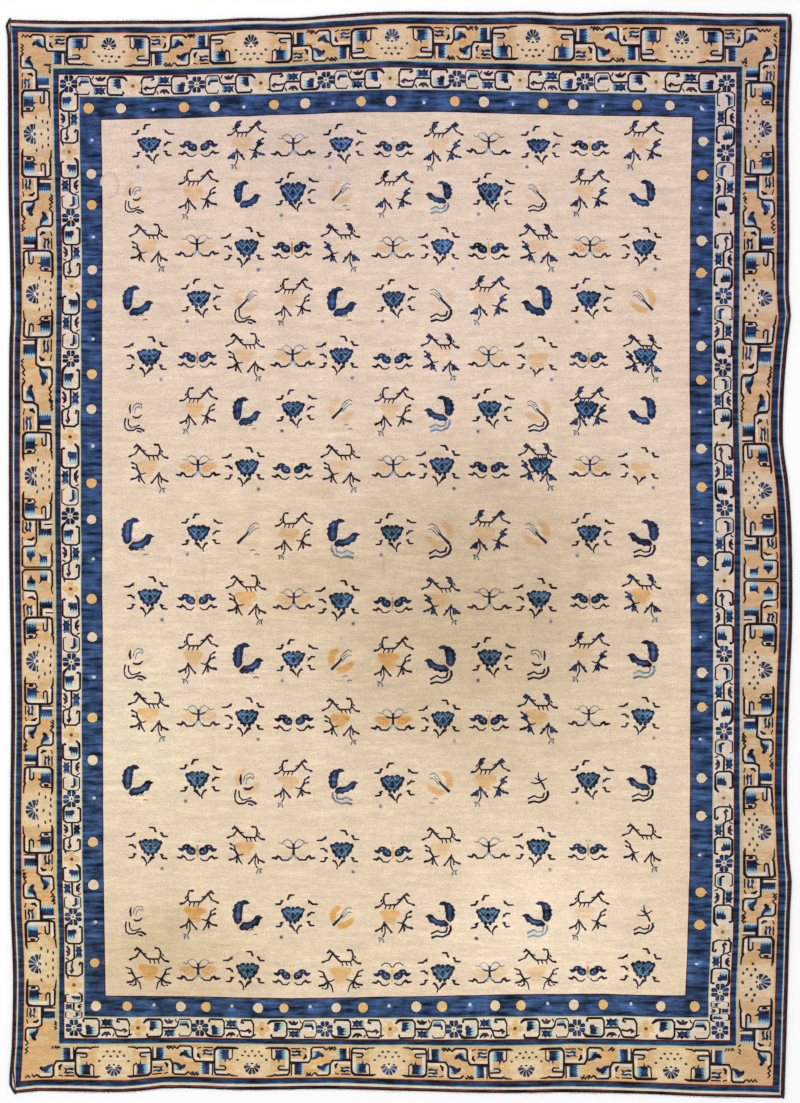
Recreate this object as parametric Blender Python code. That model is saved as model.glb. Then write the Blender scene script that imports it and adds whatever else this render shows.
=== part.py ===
"""A hand-knotted Chinese rug lying flat, pile side up.

Frame: +X across the rug, +Y along it, +Z up, the origin in the middle of the
underside, on the floor. The rug is one knotted body with a wool-bound
selvedge cord down each long side and a short, worn warp fringe at each end.
All lengths are in metres.
"""

import math
from collections import namedtuple

import bmesh
import bpy

# Driving dimensions
HALF_WIDTH = 1.526
HALF_LENGTH = 2.108
THICKNESS = 0.009  # cotton foundation and wool pile together
GAP = 0.0003  # between neighbouring solids

CORD_WIDTH = 0.011
CORD_HEIGHT = 0.008
CORD_SIDES = 8

FRINGE_HEIGHT = 0.0025
FRINGE_SPINE = 0.003  # the unbroken strip that holds the tufts
TUFT_PITCH = 0.036
TUFT_WIDTH = 0.022
FRINGE_CLEAR = 0.006  # from the body's corners to the ends of a fringe

SIDE_STEPS = 54  # even steps along a long side, besides its table's own places
END_STEPS = 40  # even steps along an end, besides its table's own places
SHORTEST_FACET = 0.012

# A row of an edge table: a place along the edge, and how far the edge there
# lies inside the straight edge of the full-size rectangle.
Edge = namedtuple("Edge", "along inset")

LEFT_EDGE = (  # from the top corner's ear down to the bottom corner
    Edge(2.083, 0.014), Edge(2.054, 0.000), Edge(2.010, 0.007), Edge(1.450, 0.011),
    Edge(0.950, 0.020), Edge(0.800, 0.014), Edge(0.000, 0.014), Edge(-0.550, 0.022),
    Edge(-1.000, 0.018), Edge(-1.350, 0.019), Edge(-1.630, 0.029), Edge(-1.900, 0.024),
    Edge(-2.056, 0.015), Edge(-2.091, 0.034),
)
RIGHT_EDGE = (  # with the drawn-in stretch above the middle
    Edge(2.099, 0.004), Edge(2.060, 0.001), Edge(1.720, 0.014), Edge(1.240, 0.011),
    Edge(1.030, 0.013), Edge(0.930, 0.005), Edge(0.820, 0.018), Edge(0.620, 0.033),
    Edge(0.430, 0.035), Edge(0.300, 0.017), Edge(0.100, 0.003), Edge(-0.250, 0.000),
    Edge(-0.550, 0.012), Edge(-0.900, 0.020), Edge(-1.180, 0.011), Edge(-1.270, 0.002),
    Edge(-1.380, 0.008), Edge(-1.750, 0.019), Edge(-2.108, 0.030),
)
TOP_EDGE = (
    Edge(-1.500, 0.033), Edge(-1.300, 0.037), Edge(-0.750, 0.034), Edge(-0.580, 0.025),
    Edge(-0.420, 0.027), Edge(-0.270, 0.015), Edge(-0.110, 0.004), Edge(0.050, 0.000),
    Edge(0.350, 0.003), Edge(0.510, 0.000), Edge(0.660, 0.008), Edge(0.850, 0.000),
    Edge(1.170, 0.005), Edge(1.280, 0.009), Edge(1.520, 0.009),
)
BOTTOM_EDGE = (
    Edge(-1.480, 0.022), Edge(-1.400, 0.031), Edge(-1.050, 0.027), Edge(-0.900, 0.042),
    Edge(-0.600, 0.035), Edge(-0.270, 0.039), Edge(0.040, 0.031), Edge(0.400, 0.023),
    Edge(0.650, 0.026), Edge(0.970, 0.019), Edge(1.150, 0.011), Edge(1.500, 0.003),
)

# How long the tufts of a fringe are: worn to the least length in places.
Wear = namedtuple("Wear", "least most waves lean")
TOP_WEAR = Wear(least=0.0010, most=0.0042, waves=3.0, lean=0.3)
BOTTOM_WEAR = Wear(least=0.0016, most=0.0070, waves=2.3, lean=0.8)


def smooth_inset(rows, along):
    """The inset at a place along an edge, on a smooth curve through its rows."""
    rows = sorted(rows)
    along = min(max(along, rows[0].along), rows[-1].along)
    high = next(i for i in range(1, len(rows)) if along <= rows[i].along)
    before, start = rows[max(high - 2, 0)], rows[high - 1]
    end, after = rows[high], rows[min(high + 1, len(rows) - 1)]
    span = end.along - start.along
    slope_in = (end.inset - before.inset) / (end.along - before.along)
    slope_out = (after.inset - start.inset) / (after.along - start.along)
    t = (along - start.along) / span
    return (
        (2 * t**3 - 3 * t**2 + 1) * start.inset
        + (t**3 - 2 * t**2 + t) * span * slope_in
        + (3 * t**2 - 2 * t**3) * end.inset
        + (t**3 - t**2) * span * slope_out
    )


def spread(low, high, steps):
    """Evenly spread places from low to high, both included."""
    return [low + (high - low) * i / steps for i in range(steps + 1)]


def faceted(places, values):
    """A function that runs straight from each place's value to the next."""

    def read(at):
        i = next((i for i in range(1, len(places) - 1) if at < places[i]), len(places) - 1)
        share = (at - places[i - 1]) / (places[i] - places[i - 1])
        return values[i - 1] + share * (values[i] - values[i - 1])

    return read


def stations(rows, low, high, steps):
    """Places along an edge: its table's own, and even ones where there is room."""
    own = [row.along for row in rows]
    even = [p for p in spread(low, high, steps) if min(abs(p - o) for o in own) > SHORTEST_FACET]
    return sorted(own + even)


def side_line(rows, sign):
    """The outer line of a long side: its places along Y and a reader of X."""
    places = stations(rows, rows[-1].along, rows[0].along, SIDE_STEPS)
    return places, faceted(places, [sign * (HALF_WIDTH - smooth_inset(rows, y)) for y in places])


def end_line(rows, sign):
    """The line of an end: its places along X and a reader of Y."""
    places = stations(rows, -HALF_WIDTH, HALF_WIDTH, END_STEPS)
    values = [sign * (HALF_LENGTH - smooth_inset(rows, x)) for x in places]
    return places, faceted(places, values)


def body_corner(side_x, end_y, inward):
    """Where the body's side, just inside the cord, meets its end."""
    x = -inward * HALF_WIDTH
    for _ in range(8):
        y = end_y(x)
        x = side_x(y) + inward * (CORD_WIDTH + GAP)
    return x, end_y(x)


def between(places, low, high, margin=0.004):
    """The places well inside a range, so that no facet is a sliver."""
    return [p for p in places if low + margin < p < high - margin]


def wool(name, colour, roughness):
    """A plain matt material."""
    material = bpy.data.materials.new(name)
    material.use_nodes = True
    shader = material.node_tree.nodes["Principled BSDF"]
    shader.inputs["Base Color"].default_value = (*colour, 1.0)
    shader.inputs["Roughness"].default_value = roughness
    shader.inputs["Metallic"].default_value = 0.0
    return material


def add_object(name, mesh_data, material):
    """Put a finished bmesh into the scene as a named object."""
    bmesh.ops.recalc_face_normals(mesh_data, faces=mesh_data.faces)
    mesh = bpy.data.meshes.new(name)
    mesh_data.to_mesh(mesh)
    mesh_data.free()
    mesh.materials.append(material)
    made = bpy.data.objects.new(name, mesh)
    bpy.context.collection.objects.link(made)
    return made


def slab(name, outline, height, material):
    """A flat-bottomed solid: an outline on the floor, raised to a height."""
    mesh_data = bmesh.new()
    base = mesh_data.faces.new([mesh_data.verts.new((x, y, 0.0)) for x, y in outline])
    raised = bmesh.ops.extrude_face_region(mesh_data, geom=[base])
    top = [item for item in raised["geom"] if isinstance(item, bmesh.types.BMVert)]
    bmesh.ops.translate(mesh_data, verts=top, vec=(0.0, 0.0, height))
    return add_object(name, mesh_data, material)


def make_body(left, right, top, bottom, corners):
    """The knotted rug itself, out to the selvedge cords and the fringes."""
    low_left, low_right, high_left, high_right = corners
    inset = CORD_WIDTH + GAP
    outline = [low_left]
    outline += [(x, bottom[1](x)) for x in between(bottom[0], low_left[0], low_right[0])]
    outline += [low_right]
    outline += [(right[1](y) - inset, y) for y in between(right[0], low_right[1], high_right[1])]
    outline += [high_right]
    outline += [(x, top[1](x)) for x in reversed(between(top[0], high_left[0], high_right[0]))]
    outline += [high_left]
    outline += [(left[1](y) + inset, y) for y in reversed(between(left[0], low_left[1], high_left[1]))]
    return slab("rug_body", outline, THICKNESS, wool("knotted_pile", (0.74, 0.57, 0.41), 0.95))


def cord_ring(mesh_data, outer_x, y, inward):
    """One section of a selvedge cord, with a flat foot on the floor."""
    centre = outer_x + inward * CORD_WIDTH / 2
    ring = []
    for i in range(CORD_SIDES):
        angle = math.pi * (2 * i + 1) / CORD_SIDES
        reach = 0.5 / math.cos(math.pi / CORD_SIDES)
        x = centre + CORD_WIDTH * reach * math.cos(angle)
        z = CORD_HEIGHT * (0.5 + reach * math.sin(angle))
        ring.append(mesh_data.verts.new((x, y, max(z, 0.0))))
    return ring


def make_cord(name, line, inward):
    """The wool-bound cord down one long side."""
    mesh_data = bmesh.new()
    rings = [cord_ring(mesh_data, line[1](y), y, inward) for y in line[0]]
    for first, second in zip(rings, rings[1:]):
        for i in range(CORD_SIDES):
            j = (i + 1) % CORD_SIDES
            mesh_data.faces.new((first[i], first[j], second[j], second[i]))
    mesh_data.faces.new(rings[0])
    mesh_data.faces.new(rings[-1])
    return add_object(name, mesh_data, wool(name + "_wool", (0.012, 0.008, 0.016), 0.95))


def tuft_length(wear, share):
    """How far a tuft stands out, from its share of the way across the rug."""
    wave = 0.5 + 0.3 * math.sin(wear.waves * 2 * math.pi * share + 1.0)
    wave += 0.2 * math.sin(wear.waves * 7.3 * math.pi * share)
    wave *= 1 - wear.lean * (1 - share)
    return wear.least + (wear.most - wear.least) * min(max(wave, 0.0), 1.0)


def make_fringe(name, line, corners, wear, sign):
    """A fringe as one comb: a strip along the rug's end with worn tufts."""
    places, end_y = line
    low, high = corners[0][0] + FRINGE_CLEAR, corners[1][0] - FRINGE_CLEAR
    inner = [low, *between(places, low, high), high]
    outline = [(x, end_y(x) + sign * GAP) for x in inner]
    count = int((high - low) / TUFT_PITCH)
    start = (low + high) / 2 - 0.5 * (count * TUFT_PITCH - (TUFT_PITCH - TUFT_WIDTH))
    comb = [(low, FRINGE_SPINE)]
    for i in range(count):
        tuft = FRINGE_SPINE + tuft_length(wear, (i + 0.5) / count)
        near, far = start + i * TUFT_PITCH, start + i * TUFT_PITCH + TUFT_WIDTH
        comb += [(near, FRINGE_SPINE), (near, tuft), (far, tuft), (far, FRINGE_SPINE)]
    comb += [(high, FRINGE_SPINE)]
    outline += [(x, end_y(x) + sign * (GAP + depth)) for x, depth in reversed(comb)]
    return slab(name, outline, FRINGE_HEIGHT, wool(name + "_cotton", (0.50, 0.47, 0.44), 0.9))


def centre_on_origin(pieces):
    """Shift the finished pieces so that their common box is centred in X and Y."""
    corners = [v.co for piece in pieces for v in piece.data.vertices]
    for axis in (0, 1):
        values = [corner[axis] for corner in corners]
        middle = (min(values) + max(values)) / 2
        for corner in corners:
            corner[axis] -= middle


def build():
    for old in list(bpy.data.objects):
        bpy.data.objects.remove(old, do_unlink=True)
    left, right = side_line(LEFT_EDGE, -1), side_line(RIGHT_EDGE, 1)
    top, bottom = end_line(TOP_EDGE, 1), end_line(BOTTOM_EDGE, -1)
    low_corners = [body_corner(side[1], bottom[1], sign) for side, sign in ((left, 1), (right, -1))]
    high_corners = [body_corner(side[1], top[1], sign) for side, sign in ((left, 1), (right, -1))]
    pieces = [
        make_body(left, right, top, bottom, low_corners + high_corners),
        make_cord("selvedge_left", left, 1),
        make_cord("selvedge_right", right, -1),
        make_fringe("fringe_top", top, high_corners, TOP_WEAR, 1),
        make_fringe("fringe_bottom", bottom, low_corners, BOTTOM_WEAR, -1),
    ]
    centre_on_origin(pieces)


build()
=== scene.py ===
import bisect
import math
import random

import bpy
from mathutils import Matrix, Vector, kdtree, noise
from mathutils.geometry import delaunay_2d_cdt


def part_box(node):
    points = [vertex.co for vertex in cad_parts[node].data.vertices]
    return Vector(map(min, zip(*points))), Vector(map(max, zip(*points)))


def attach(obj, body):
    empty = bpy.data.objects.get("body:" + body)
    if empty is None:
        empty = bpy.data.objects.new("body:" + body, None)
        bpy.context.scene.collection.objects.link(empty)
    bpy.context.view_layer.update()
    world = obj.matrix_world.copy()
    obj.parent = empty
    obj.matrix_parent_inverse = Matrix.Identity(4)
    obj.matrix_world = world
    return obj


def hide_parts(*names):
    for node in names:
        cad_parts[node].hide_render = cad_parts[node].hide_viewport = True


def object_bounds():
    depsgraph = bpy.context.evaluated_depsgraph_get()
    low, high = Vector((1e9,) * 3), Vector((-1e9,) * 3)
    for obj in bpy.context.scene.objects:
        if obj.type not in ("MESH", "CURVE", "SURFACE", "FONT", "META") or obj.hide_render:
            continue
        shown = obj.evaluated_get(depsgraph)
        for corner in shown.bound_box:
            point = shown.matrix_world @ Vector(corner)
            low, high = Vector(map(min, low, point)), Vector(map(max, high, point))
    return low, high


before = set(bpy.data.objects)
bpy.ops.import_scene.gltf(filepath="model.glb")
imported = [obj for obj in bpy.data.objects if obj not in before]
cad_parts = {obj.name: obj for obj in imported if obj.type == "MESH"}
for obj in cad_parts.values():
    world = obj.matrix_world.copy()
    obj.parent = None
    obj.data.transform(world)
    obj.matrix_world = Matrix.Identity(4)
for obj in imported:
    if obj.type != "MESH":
        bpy.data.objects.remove(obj)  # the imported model: one body, five nodes
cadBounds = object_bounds()

knot = 0.003875  # metres: the unit the design is charted in, about a knot's width but not a counted one
draw = random.Random(21)
noise.seed_set(21)  # noise_vector takes its offsets from this

# Dyed wools, as they have aged
dyes = {
    "blackBlue": "#100D17",
    "outline": "#1D1A27",
    "navy": "#1B2C50",
    "bandBlue": "#30456B",
    "stripeBlue": "#1C3557",
    "indigo": "#28496F",
    "sky": "#58849A",
    "royal": "#466197",
    "paleSky": "#A9BFC0",
    "greyBlue": "#7F8794",
    "teal": "#477583",
    "ground": "#E1CBB5",
    "groundShade": "#CFB698",
    "ivory": "#DDCBB9",
    "rimIvory": "#DACAB6",
    "paleGreen": "#BDBE9F",
    "gold": "#D1A97C",
    "glow": "#DCC19D",
    "goldWorn": "#DBB985",
    "apricot": "#D79E58",
    "rust": "#8E4A3C",
    "maroon": "#44202A",
    "rimMaroon": "#5B2A30",
    "plum": "#34253A",
    "ink": "#2C2739",  # the thin stems of the field
}


def linear(text):
    parts = [int(text[i : i + 2], 16) / 255 for i in (1, 3, 5)]
    return tuple(c / 12.92 if c <= 0.04045 else ((c + 0.055) / 1.055) ** 2.4 for c in parts)


def blend(first, second, share):
    first, second = (linear(dyes[c]) if isinstance(c, str) else c for c in (first, second))
    return tuple(a + (b - a) * share for a, b in zip(first, second))


def numbers(text):
    # "x,y x,y" as pairs of numbers
    return [tuple(float(part) for part in word.split(",")) for word in text.split()]


def addNode(tree, kind, links=None, **settings):
    # a node given as a value stands for its first output
    node = tree.nodes.new("ShaderNode" + kind)
    for name, value in settings.items():
        setattr(node, name, value)
    for socket, value in (links or {}).items():
        if isinstance(value, bpy.types.Node):
            value = value.outputs[0]
        if isinstance(value, bpy.types.NodeSocket):
            tree.links.new(value, node.inputs[socket])
        else:
            node.inputs[socket].default_value = value
    return node


def startMaterial(name):
    material = bpy.data.materials.new(name)
    material.use_nodes = True
    tree = material.node_tree
    tree.nodes.clear()
    return material, tree


def finishMaterial(tree, colour, values):
    shader = addNode(tree, "BsdfPrincipled", {"Base Color": colour, **values})
    addNode(tree, "OutputMaterial", {"Surface": shader})


def newPiece(name, verts, faces, *materials):
    mesh = bpy.data.meshes.new(name)
    mesh.from_pydata(verts, [], faces)
    for material in materials:
        mesh.materials.append(material)
    made = bpy.data.objects.new(name, mesh)
    bpy.context.collection.objects.link(made)
    return made


# Camera, floor and light

view = {
    "aimX": 0.004,
    "aimY": 0.0135,
    "spanY": 4.274,  # metres of floor from the top of the view to its foot
    "lens": 50.0,
    "sensor": 36.0,
    "floor": "#FFFFFF",
    "floorSize": 16.0,
    "floorDrop": 0.0002,  # metres under the rug, so that the two never share a plane
    "world": 0.86,
    "lampPower": 56.0,
    "lampSize": 5.0,
    "lampPlace": (-1.3, 0.6, 5.0),
}


def makeCamera():
    data = bpy.data.cameras.new("camera")
    data.lens, data.sensor_width = view["lens"], view["sensor"]
    camera = bpy.data.objects.new("camera", data)
    height = view["spanY"] / view["sensor"] * view["lens"] + cadBounds[1].z
    camera.location = (view["aimX"], view["aimY"], height)
    bpy.context.collection.objects.link(camera)
    bpy.context.scene.camera = camera


def makeFloor():
    bpy.ops.object.select_all(action="DESELECT")
    bpy.ops.mesh.primitive_plane_add(size=view["floorSize"], location=(0, 0, -view["floorDrop"]))
    floor = bpy.context.object
    floor.name = "studioFloor"
    material, tree = startMaterial("paintedFloor")  # smooth matt paint, an even pale tone
    finishMaterial(tree, (*linear(view["floor"]), 1), {"Roughness": 0.9, "Specular IOR Level": 0.2})
    floor.data.materials.append(material)


def makeLights():
    world = bpy.data.worlds.new("softRoom")
    world.use_nodes = True
    back = world.node_tree.nodes["Background"]
    back.inputs["Color"].default_value = (1.0, 1.0, 1.0, 1)
    back.inputs["Strength"].default_value = view["world"]
    bpy.context.scene.world = world
    data = bpy.data.lights.new("softbox", "AREA")
    data.energy, data.size = view["lampPower"], view["lampSize"]
    lamp = bpy.data.objects.new("softbox", data)
    lamp.location = view["lampPlace"]
    lamp.rotation_euler = (Vector((0, 0, 0)) - lamp.location).to_track_quat("-Z", "Y").to_euler()
    bpy.context.collection.objects.link(lamp)


bpy.context.scene.view_settings.view_transform = "Standard"
makeCamera()
makeFloor()
makeLights()
print("camera, floor and lights are in place")

# The rug's true outline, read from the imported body

bodyLow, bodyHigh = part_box("rug_body")
rugTop = bodyHigh.z


def readOutline():
    points = {
        (round(v.co.x, 6), round(v.co.y, 6))
        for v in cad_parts["rug_body"].data.vertices
        if v.co.z > rugTop / 2
    }
    return sorted(points, key=lambda p: math.atan2(p[1], p[0]))  # anticlockwise from the left


def reader(pairs):
    pairs = sorted(pairs)
    places, values = [p[0] for p in pairs], [p[1] for p in pairs]

    def read(at):
        at = min(max(at, places[0]), places[-1])
        i = min(max(bisect.bisect_right(places, at), 1), len(places) - 1)
        share = (at - places[i - 1]) / (places[i] - places[i - 1])
        return values[i - 1] + share * (values[i] - values[i - 1])

    return read


def splitOutline(points):
    corner = {
        (sx, sy): max(range(len(points)), key=lambda i: sx * points[i][0] + sy * points[i][1])
        for sx in (-1, 1)
        for sy in (-1, 1)
    }

    def run(start, end):
        i, found = corner[start], []
        while i != corner[end]:
            found.append(points[i])
            i = (i + 1) % len(points)
        return found + [points[i]]

    flip = lambda found: [(y, x) for x, y in found]
    return {
        "bottom": reader(run((-1, -1), (1, -1))),
        "right": reader(flip(run((1, -1), (1, 1)))),
        "top": reader(run((1, 1), (-1, 1))),
        "left": reader(flip(run((-1, 1), (-1, -1)))),
    }


outline = readOutline()
outerEdge = splitOutline(outline)

# The chart: what the weaver meant to be straight, in knots from the middle

field = {"left": -296.3, "right": 291.2, "bottom": -440.7, "top": 440.0}
# How far each band's outer edge lies outside the field
bandNames = ("blueBand", "inner", "guard", "main", "stripe", "rim", "end")
bandDepths = {
    "left": (21.1, 41.9, 46.7, 82.7, 87.7, 90.0, 90.4),
    "right": (22.9, 44.8, 50.0, 87.8, 94.1, 96.3, 96.7),
    "top": (22.2, 44.7, 50.2, 89.0, 94.5, 98.3, 100.6),
    "bottom": (21.4, 44.0, 49.0, 85.3, 90.6, 94.1, 96.4),
}
bands = {side: dict(zip(bandNames, depths)) for side, depths in bandDepths.items()}
# How far the field's edge and the guard stripe wander off the chart, in knots, at places along each side
wander = {
    ("left", "field"): "-440,3 -385,2.2 -300,0.9 -145,0.5 -85,0 95,-0.5 335,0 440,-1.2",
    ("left", "guard"): (
        "-445,2.9 -385,2.6 -325,0.9 -205,0.1 -85,0.3 35,-1 155,-1.1 275,0.7 335,-0.2 395,-1.6 455,-3.1"
    ),
    ("right", "field"): "-440,-5 -385,-2.8 -325,-0.8 -85,0.5 35,0 275,-0.8 395,1 440,1.8",
    ("right", "guard"): (
        "-445,-4 -385,-1.3 -325,0 -205,-0.2 -85,0 35,0.7 95,-0.3 155,-1.9 275,-0.6 335,0.1 395,1.5 455,2.1"
    ),
    ("bottom", "field"): "-260,0.2 -159,-1.5 -109,-1.9 -9,-1 91,1.3 191,2.1 260,0.5",
    ("bottom", "guard"): "-310,0.6 -209,1.5 -159,0.7 -9,-0.3 91,-1 191,0.6 291,-1.6",
    ("top", "field"): "-290,-4.8 -209,-3.3 -109,0.1 -59,2.3 41,3.1 91,1.5 191,-0.6 291,-2.4",
    ("top", "guard"): "-309,-3.6 -259,-4.9 -159,-2.1 -109,-1.2 -59,1.7 -9,4 91,1.5 191,0 241,0.5 291,-1.1",
}
loom = {
    "together": 1.18,  # how soon the outer stripes follow the edge
    "calmDepth": 6.0,  # knots from the edge where the unevenness starts
    "slow": (60.0, 3.0, 0.5),  # knots from one wave to the next, its place in the pattern, and its reach
    "quick": (5.5, 8.0, 0.45),
}
wanderLine = {key: reader(numbers(row)) for key, row in wander.items()}
sideSign = {"left": -1, "right": 1, "bottom": -1, "top": 1}
outerDepth = {side: rows["end"] for side, rows in bands.items()}


def shift(side, across, along):
    # how far a line at this depth outside the field is pulled off the chart, at a place along it
    depth, guard = sideSign[side] * (across - field[side]), bands[side]["guard"]
    near = wanderLine[side, "guard"](along)
    if depth < guard:
        share = max(depth, 0.0) / guard
        return near * share + wanderLine[side, "field"](along) * (1 - share)
    far = outerEdge[side](along * knot) / knot - field[side] - sideSign[side] * outerDepth[side]
    share = min((depth - guard) / (outerDepth[side] - guard), 1.0)
    share = min(share * loom["together"], 1.0)
    return near + (far - near) * share


def pull(low, high, across, along):
    if across <= field[low]:
        return shift(low, across, along)
    if across >= field[high]:
        return shift(high, across, along)
    share = (across - field[low]) / (field[high] - field[low])
    return shift(low, field[low], along) * (1 - share) + shift(high, field[high], along) * share


def onRug(x, y):
    # from the chart to the rug as it came off the loom, both in knots
    newX = x + pull("left", "right", x, y)
    newY = y + pull("bottom", "top", y, newX)
    newX = x + pull("left", "right", x, newY)
    depth = min(
        outerDepth[side] - sideSign[side] * (at - field[side])
        for side, at in (("left", x), ("right", x), ("bottom", y), ("top", y))
    )
    calm = min(max(depth / loom["calmDepth"], 0.0), 1.0)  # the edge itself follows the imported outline
    slow, quick = (
        noise.noise_vector(Vector((x / size, y / size, place))) * reach
        for size, place, reach in (loom["slow"], loom["quick"])
    )
    return newX + calm * (slow.x + quick.x), newY + calm * (slow.y + quick.y)


def offRug(x, y):
    # from a place on the rug back to the chart
    chartX, chartY = x, y
    for _ in range(3):
        atX, atY = onRug(chartX, chartY)
        chartX, chartY = chartX + x - atX, chartY + y - atY
    return chartX, chartY


# Drawing in wool: shapes in knots, where a later one covers an earlier one

shapes = []
line = {"overrun": 0.4, "sharpest": 0.62, "smallest": 0.05}  # knots, cosine, square knots


def signedArea(points):
    return sum(a[0] * b[1] - b[0] * a[1] for a, b in zip(points, points[1:] + points[:1])) / 2


def turns(a, b, c):
    return (b[0] - a[0]) * (c[1] - a[1]) - (b[1] - a[1]) * (c[0] - a[0])


def crosses(points):
    # whether an outline runs through itself
    edges = list(zip(points, points[1:] + points[:1]))
    for i, (a, b) in enumerate(edges):
        for j in range(i + 2, len(edges) - (i == 0)):
            c, d = edges[j]
            if turns(a, b, c) * turns(a, b, d) < 0 and turns(c, d, a) * turns(c, d, b) < 0:
                return True
    return False


def fill(place, points, dye):
    points = [place(x, y) for x, y in points]
    if signedArea(points) < 0:
        points.reverse()
    if signedArea(points) > line["smallest"]:
        shapes.append((points, linear(dyes[dye]) if isinstance(dye, str) else dye))


def stroke(place, points, width, dye):
    # a line of wool: four-sided shapes that share their mitred corners
    widths = width if isinstance(width, (list, tuple)) else [width] * len(points)
    left, right = [], []
    for i, (x, y) in enumerate(points):
        before, after = points[max(i - 1, 0)], points[min(i + 1, len(points) - 1)]
        inDir = Vector((x - before[0], y - before[1])) if i else Vector((after[0] - x, after[1] - y))
        outDir = Vector((after[0] - x, after[1] - y)) if i < len(points) - 1 else inDir
        inDir.normalize()
        outDir = outDir.normalized()
        along = (inDir + outDir).normalized() if (inDir + outDir).length > 0.1 else inDir
        reach = widths[i] / 2 / max(along.dot(inDir), line["sharpest"])
        end = {0: -line["overrun"], len(points) - 1: line["overrun"]}.get(i, 0.0)
        centre = Vector((x, y)) + along * end
        side = Vector((-along.y, along.x)) * reach
        left.append(tuple(centre + side))
        right.append(tuple(centre - side))
    for i in range(len(points) - 1):
        quad = [left[i], left[i + 1], right[i + 1], right[i]]
        if crosses(quad):  # too tight a turn for shared corners
            across = Vector((points[i + 1][1] - points[i][1], points[i][0] - points[i + 1][0])).normalized()
            a, b = across * widths[i] / 2, across * widths[i + 1] / 2
            (x, y), (far, high) = points[i], points[i + 1]
            quad = [(x - a.x, y - a.y), (far - b.x, high - b.y)]
            quad += [(far + b.x, high + b.y), (x + a.x, y + a.y)]
        fill(place, quad, dye)


def turnedBy(place, angle, x=0.0, y=0.0):
    cosine, sine = math.cos(angle), math.sin(angle)
    return lambda px, py: place(x + px * cosine - py * sine, y + px * sine + py * cosine)


def blob(place, x, y, wide, high, dye, sides=8, turn=0.0, lobes=0, lobe=0.0):
    points = []
    for i in range(sides):
        angle = 2 * math.pi * (i + 0.5) / sides
        size = 1 + lobe * math.cos(lobes * angle)
        px, py = wide / 2 * size * math.cos(angle), high / 2 * size * math.sin(angle)
        points.append((px, py))
    fill(turnedBy(place, turn, x, y), points, dye)


def halves(place):
    # a motif's two halves, mirrored about its middle
    return [lambda x, y, side=side: place(side * x, y) for side in (-1, 1)]


def grown(points, by):
    # the same outline, larger or smaller about its middle
    cx = sum(p[0] for p in points) / len(points)
    cy = sum(p[1] for p in points) / len(points)
    return [(cx + (x - cx) * by, cy + (y - cy) * by) for x, y in points]


def soft(place, points, dye, under, strength):
    # a worn dye: it thins out towards its edge
    for by, share in ((1.1, 0.4), (0.88, 1.0)):
        fill(place, grown(points, by), blend(under, dye, share * strength))


def shaded(place, start, end, low, high, wools, teeth=4):
    # a block shaded in steps from start to end, with hatched edges between the steps
    step = (end - start) / len(wools)
    for i, dye in enumerate(wools):
        near = start + i * step
        points = [(near, low), (end, low), (end, high), (near, high)]
        if i:
            ragged = []
            for k in range(teeth * 2 + 1):
                deep = 0.55 * step * (1 if k % 2 else -1) * draw.uniform(0.5, 1.0)
                ragged.append((near + deep, high + (low - high) * k / (teeth * 2)))
            points = ragged + points[1:3]
        fill(place, points, dye)


def box(place, left, right, low, high, dye):
    fill(place, [(left, low), (right, low), (right, high), (left, high)], dye)


def weave(place, rows, **wools):
    # a motif from its chart, a shape a row: its form, its wool (or two and a share to blend), then its
    # places in knots; a line's width stays until it changes
    for row in rows:
        form, name, text = row.split(" ", 2)
        found = numbers(text)
        wool = [wools.get(part, part) for part in name.split("/")]
        wool = blend(wool[0], wool[1], float(wool[2])) if len(wool) == 3 else wool[0]
        if form == "line":
            widths = []
            for spot in found:
                widths.append(spot[2] if len(spot) == 3 else widths[-1])
            stroke(place, [spot[:2] for spot in found], widths, wool)
        elif form == "area":
            fill(place, found, wool)
        elif form == "spot":
            (x, y), (wide, high), (sides, *turn) = found
            blob(place, x, y, wide, high, wool, int(sides), *turn)
        elif form == "box":
            box(place, *found[0], *found[1], wool)
        else:
            shaded(place, *found[0], *found[1], wool.split("+"), int(found[2][0]))


def at(x, y, mirror=1, size=1.0, turn=0.0):
    cosine, sine = math.cos(turn), math.sin(turn)

    def place(px, py):
        px, py = mirror * px * size, py * size
        return x + px * cosine - py * sine, y + px * sine + py * cosine

    return place


plain = at(0.0, 0.0)

# Bands

# Each band's wool from the edge inwards, and how far inside the band's own edge it starts
rings = (
    "end blackBlue 0, rim rimMaroon -0.6, rim rimIvory 1.3, stripe teal 0, stripe stripeBlue 0.9, "
    "main maroon -0.8, main rust 0.7, main gold 1.2, guard paleGreen -0.9, guard teal 0, "
    "guard stripeBlue 0.8, inner maroon -0.8, inner rust 0.6, inner ivory 1.1, "
    "blueBand paleGreen -0.9, blueBand bandBlue 0"
)


def rectangle(depths):
    # corners, with each side at its own depth outside the field
    left, right, bottom, top = (field[side] + sideSign[side] * depths[side] for side in field)
    return [(left, bottom), (right, bottom), (right, top), (left, top)]


def layBands():
    for ring in rings.split(", "):
        name, dye, inset = ring.split()
        fill(plain, rectangle({side: bands[side][name] - float(inset) for side in bands}), dye)
    for grow, dye in ((1.2, "maroon"), (0.0, "ground")):
        fill(plain, rectangle(dict.fromkeys(bands, grow)), dye)


def lettered(row):
    # "a12 b-3" as letters with numbers
    return [(word[0], float(word[1:])) for word in row.split()]


def charted(side, depth, along):
    # a measured place along a side, moved to where the chart has it
    across = field[side] + sideSign[side] * depth
    upright = side in ("left", "right")
    return offRug(across, along)[1] if upright else offRug(along, across)[0]


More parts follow.
